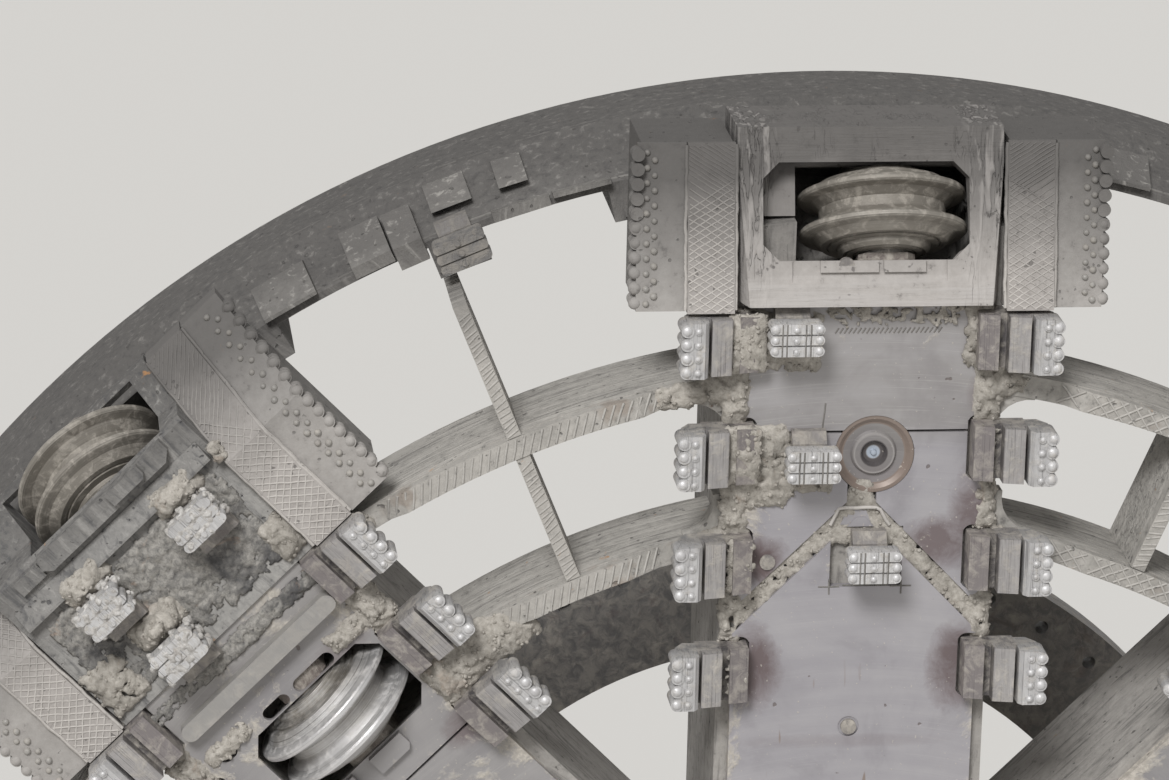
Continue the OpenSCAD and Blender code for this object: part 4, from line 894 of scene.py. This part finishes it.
def heaps(spokes, rows, corners, bands, seed):
    # centres and radii of lumps: in each heap they are larger and rise higher towards its middle
    verts, sizes = [], []
    chance = random.Random(seed)
    for angle in spokes:
        for x1, x2, r1, r2, depth, height, size, count in corners:
            for _ in range(count):
                u, v = chance.random() ** 1.5, chance.uniform(-1, 1)
                x = x1 + (x2 - x1) * u if x1 > 0 else x2 + (x1 - x2) * u
                r = (r1 + r2) / 2 + v * (r2 - r1) / 2 * (1 - 0.5 * u)
                rise = chance.random() * height * (1 - 0.8 * u) * (1 - v * v)
                verts.append(onSpoke(angle, x, depth - rise + chance.uniform(0, 14), sqrt(r * r - x * x)))
                sizes.append(size / 1000 * chance.uniform(0.5, 1.0) * (1 - 0.35 * u))
        for x1, x2, z1, z2, depth, height, size, count in rows:
            for _ in range(count):
                u, v = chance.uniform(-1, 1), chance.uniform(-1, 1)
                bulge = max(0.0, 1 - max(abs(u), abs(v)) ** 2)
                rise = (0.25 + 0.75 * chance.random()) * height * bulge
                x, z = (x1 + x2 + u * (x2 - x1)) / 2, (z1 + z2 + v * (z2 - z1)) / 2
                verts.append(onSpoke(angle, x, depth - rise, z))
                sizes.append(size / 1000 * chance.uniform(0.55, 1.0))
        for x1, z1, x2, z2, width, depth, height, size, count in bands:
            length = sqrt((x2 - x1) ** 2 + (z2 - z1) ** 2)
            for _ in range(count):
                t, w = chance.random(), chance.uniform(-0.5, 0.5) * width
                x = x1 + (x2 - x1) * t - (z2 - z1) / length * w
                z = z1 + (z2 - z1) * t + (x2 - x1) / length * w
                verts.append(onSpoke(angle, x, depth - height * chance.random() * 0.6, z))
                sizes.append(size / 1000 * chance.uniform(0.6, 1.1))
    return verts, sizes


# ripper heads of the cutter spokes as side offset, radius and number of lumps; half sizes of a head, depths of mud
headCakes = {"heads": [(222, 2934, 170), (-147, 2932, 150), (-92, 2692, 200)], "halfX": 80, "halfZ": 50,
             "flank": (-148, -60), "front": (-151, -142), "sizes": (0.0065, 0.0125), "seed": 31}


def cakes():
    # lumps pressed into the grooves and over the flanks of the ripper heads
    verts, sizes = [], []
    halfX, halfZ, chance = headCakes["halfX"], headCakes["halfZ"], random.Random(headCakes["seed"])
    for angle in cutterSpokes:
        for x, z, count in headCakes["heads"]:
            for _ in range(count):
                u, v = chance.uniform(-halfX, halfX), chance.uniform(-halfZ, halfZ)
                atEdge = max(abs(u) / halfX, abs(v) / halfZ) > 0.86
                depth = chance.uniform(*headCakes["flank" if atEdge else "front"])
                verts.append(onSpoke(angle, x + u, depth, z + v))
                sizes.append(chance.uniform(*headCakes["sizes"]))
    return verts, sizes


verts, sizes = cakes()
cakeFinish = mudPaint("paleCake", (0.42, 0.4, 0.375), (0.64, 0.625, 0.605), (0.17, 0.16, 0.15), 0.2)
apply("head_cakes", masses, "holder_steel",
      {"Voxel": 0.0052, "Roughness": 0.008, "Roughness scale": 60.0, "Seed": 3.0, "Crumbs": 0.0,
       "Crumb size": 0.005, "Finish": cakeFinish}, verts, attributes={"size": sizes})

heapFinish = mudPaint("dryMudCrust", (0.365, 0.339, 0.301), (0.515, 0.484, 0.438), (0.15, 0.138, 0.12), 0.4)
for name, spokes, rows, corners, bands, seed, voxel in (
        ("mud_heaps_a", nozzleSpokes, heapsA, cornersA, bandsA, 21, 0.0102),
        ("mud_heaps_b", cutterSpokes, heapsB, cornersB, [], 22, 0.0083)):
    verts, sizes = heaps(spokes, rows, corners, bands, seed)
    apply(name, masses, "caked_steel",
          {"Voxel": voxel, "Roughness": 0.02, "Roughness scale": 34.0, "Seed": float(seed), "Crumbs": 900.0,
           "Crumb size": 0.0075, "Finish": heapFinish}, verts, attributes={"size": sizes})

# where the photo was taken from, with angles in degrees; the sensor is in millimetres
view = {"position": (-2.414, -15.116, 6.842), "yaw": 6.75, "pitch": -17.37, "roll": 1.32, "focalPixels": 5015.0,
        "imageWidth": 1169, "sensor": 36}
light = {"world": 0.52, "sky": (1.0, 0.99, 0.975), "sun": 2.75, "sunAngle": 18, "sunTurn": (48, 0, -24)}
stage = {"color": (0.6, 0.59, 0.57), "gap": 0.004, "corners": ((-90, -60), (90, -60), (90, 120), (-90, 120))}


def makeCamera():
    yaw, pitch, roll = (radians(view[k]) for k in ("yaw", "pitch", "roll"))
    ahead = Vector((sin(yaw) * cos(pitch), cos(yaw) * cos(pitch), sin(pitch)))
    level = Vector((cos(yaw), -sin(yaw), 0))
    above = level.cross(ahead)
    right = cos(roll) * level + sin(roll) * above
    up = cos(roll) * above - sin(roll) * level
    data = bpy.data.cameras.new("camera")
    data.sensor_width = view["sensor"]
    data.lens = view["focalPixels"] / view["imageWidth"] * view["sensor"]
    data.clip_end = 300
    camera = put("camera", data)
    camera.matrix_world = Matrix.Translation(view["position"]) @ Matrix((right, up, -ahead)).transposed().to_4x4()
    bpy.context.scene.camera = camera


def makeStage():
    floorZ = cadBox[0][2] - stage["gap"]
    mesh = bpy.data.meshes.new("floor")
    mesh.from_pydata([(x, y, floorZ) for x, y in stage["corners"]], [], [(0, 1, 2, 3)])
    floor = put("floor", mesh)
    paint = Paint("floorPaint", stage["color"], roughness=0.9, specular=0.1)
    paint.shader.inputs["Base Color"].default_value = paint.color
    mesh.materials.append(paint.material)
    world = bpy.data.worlds.new("sky")
    world.use_nodes = True
    background = world.node_tree.nodes["Background"].inputs
    background[0].default_value = (*light["sky"], 1)
    background[1].default_value = light["world"]
    bpy.context.scene.world = world
    sun = bpy.data.lights.new("sun", "SUN")
    sun.energy, sun.angle = light["sun"], radians(light["sunAngle"])
    lamp = put("sun", sun)
    lamp.rotation_euler = [radians(a) for a in light["sunTurn"]]


makeCamera()
makeStage()
bpy.context.scene.view_settings.view_transform = "Standard"
print("done")
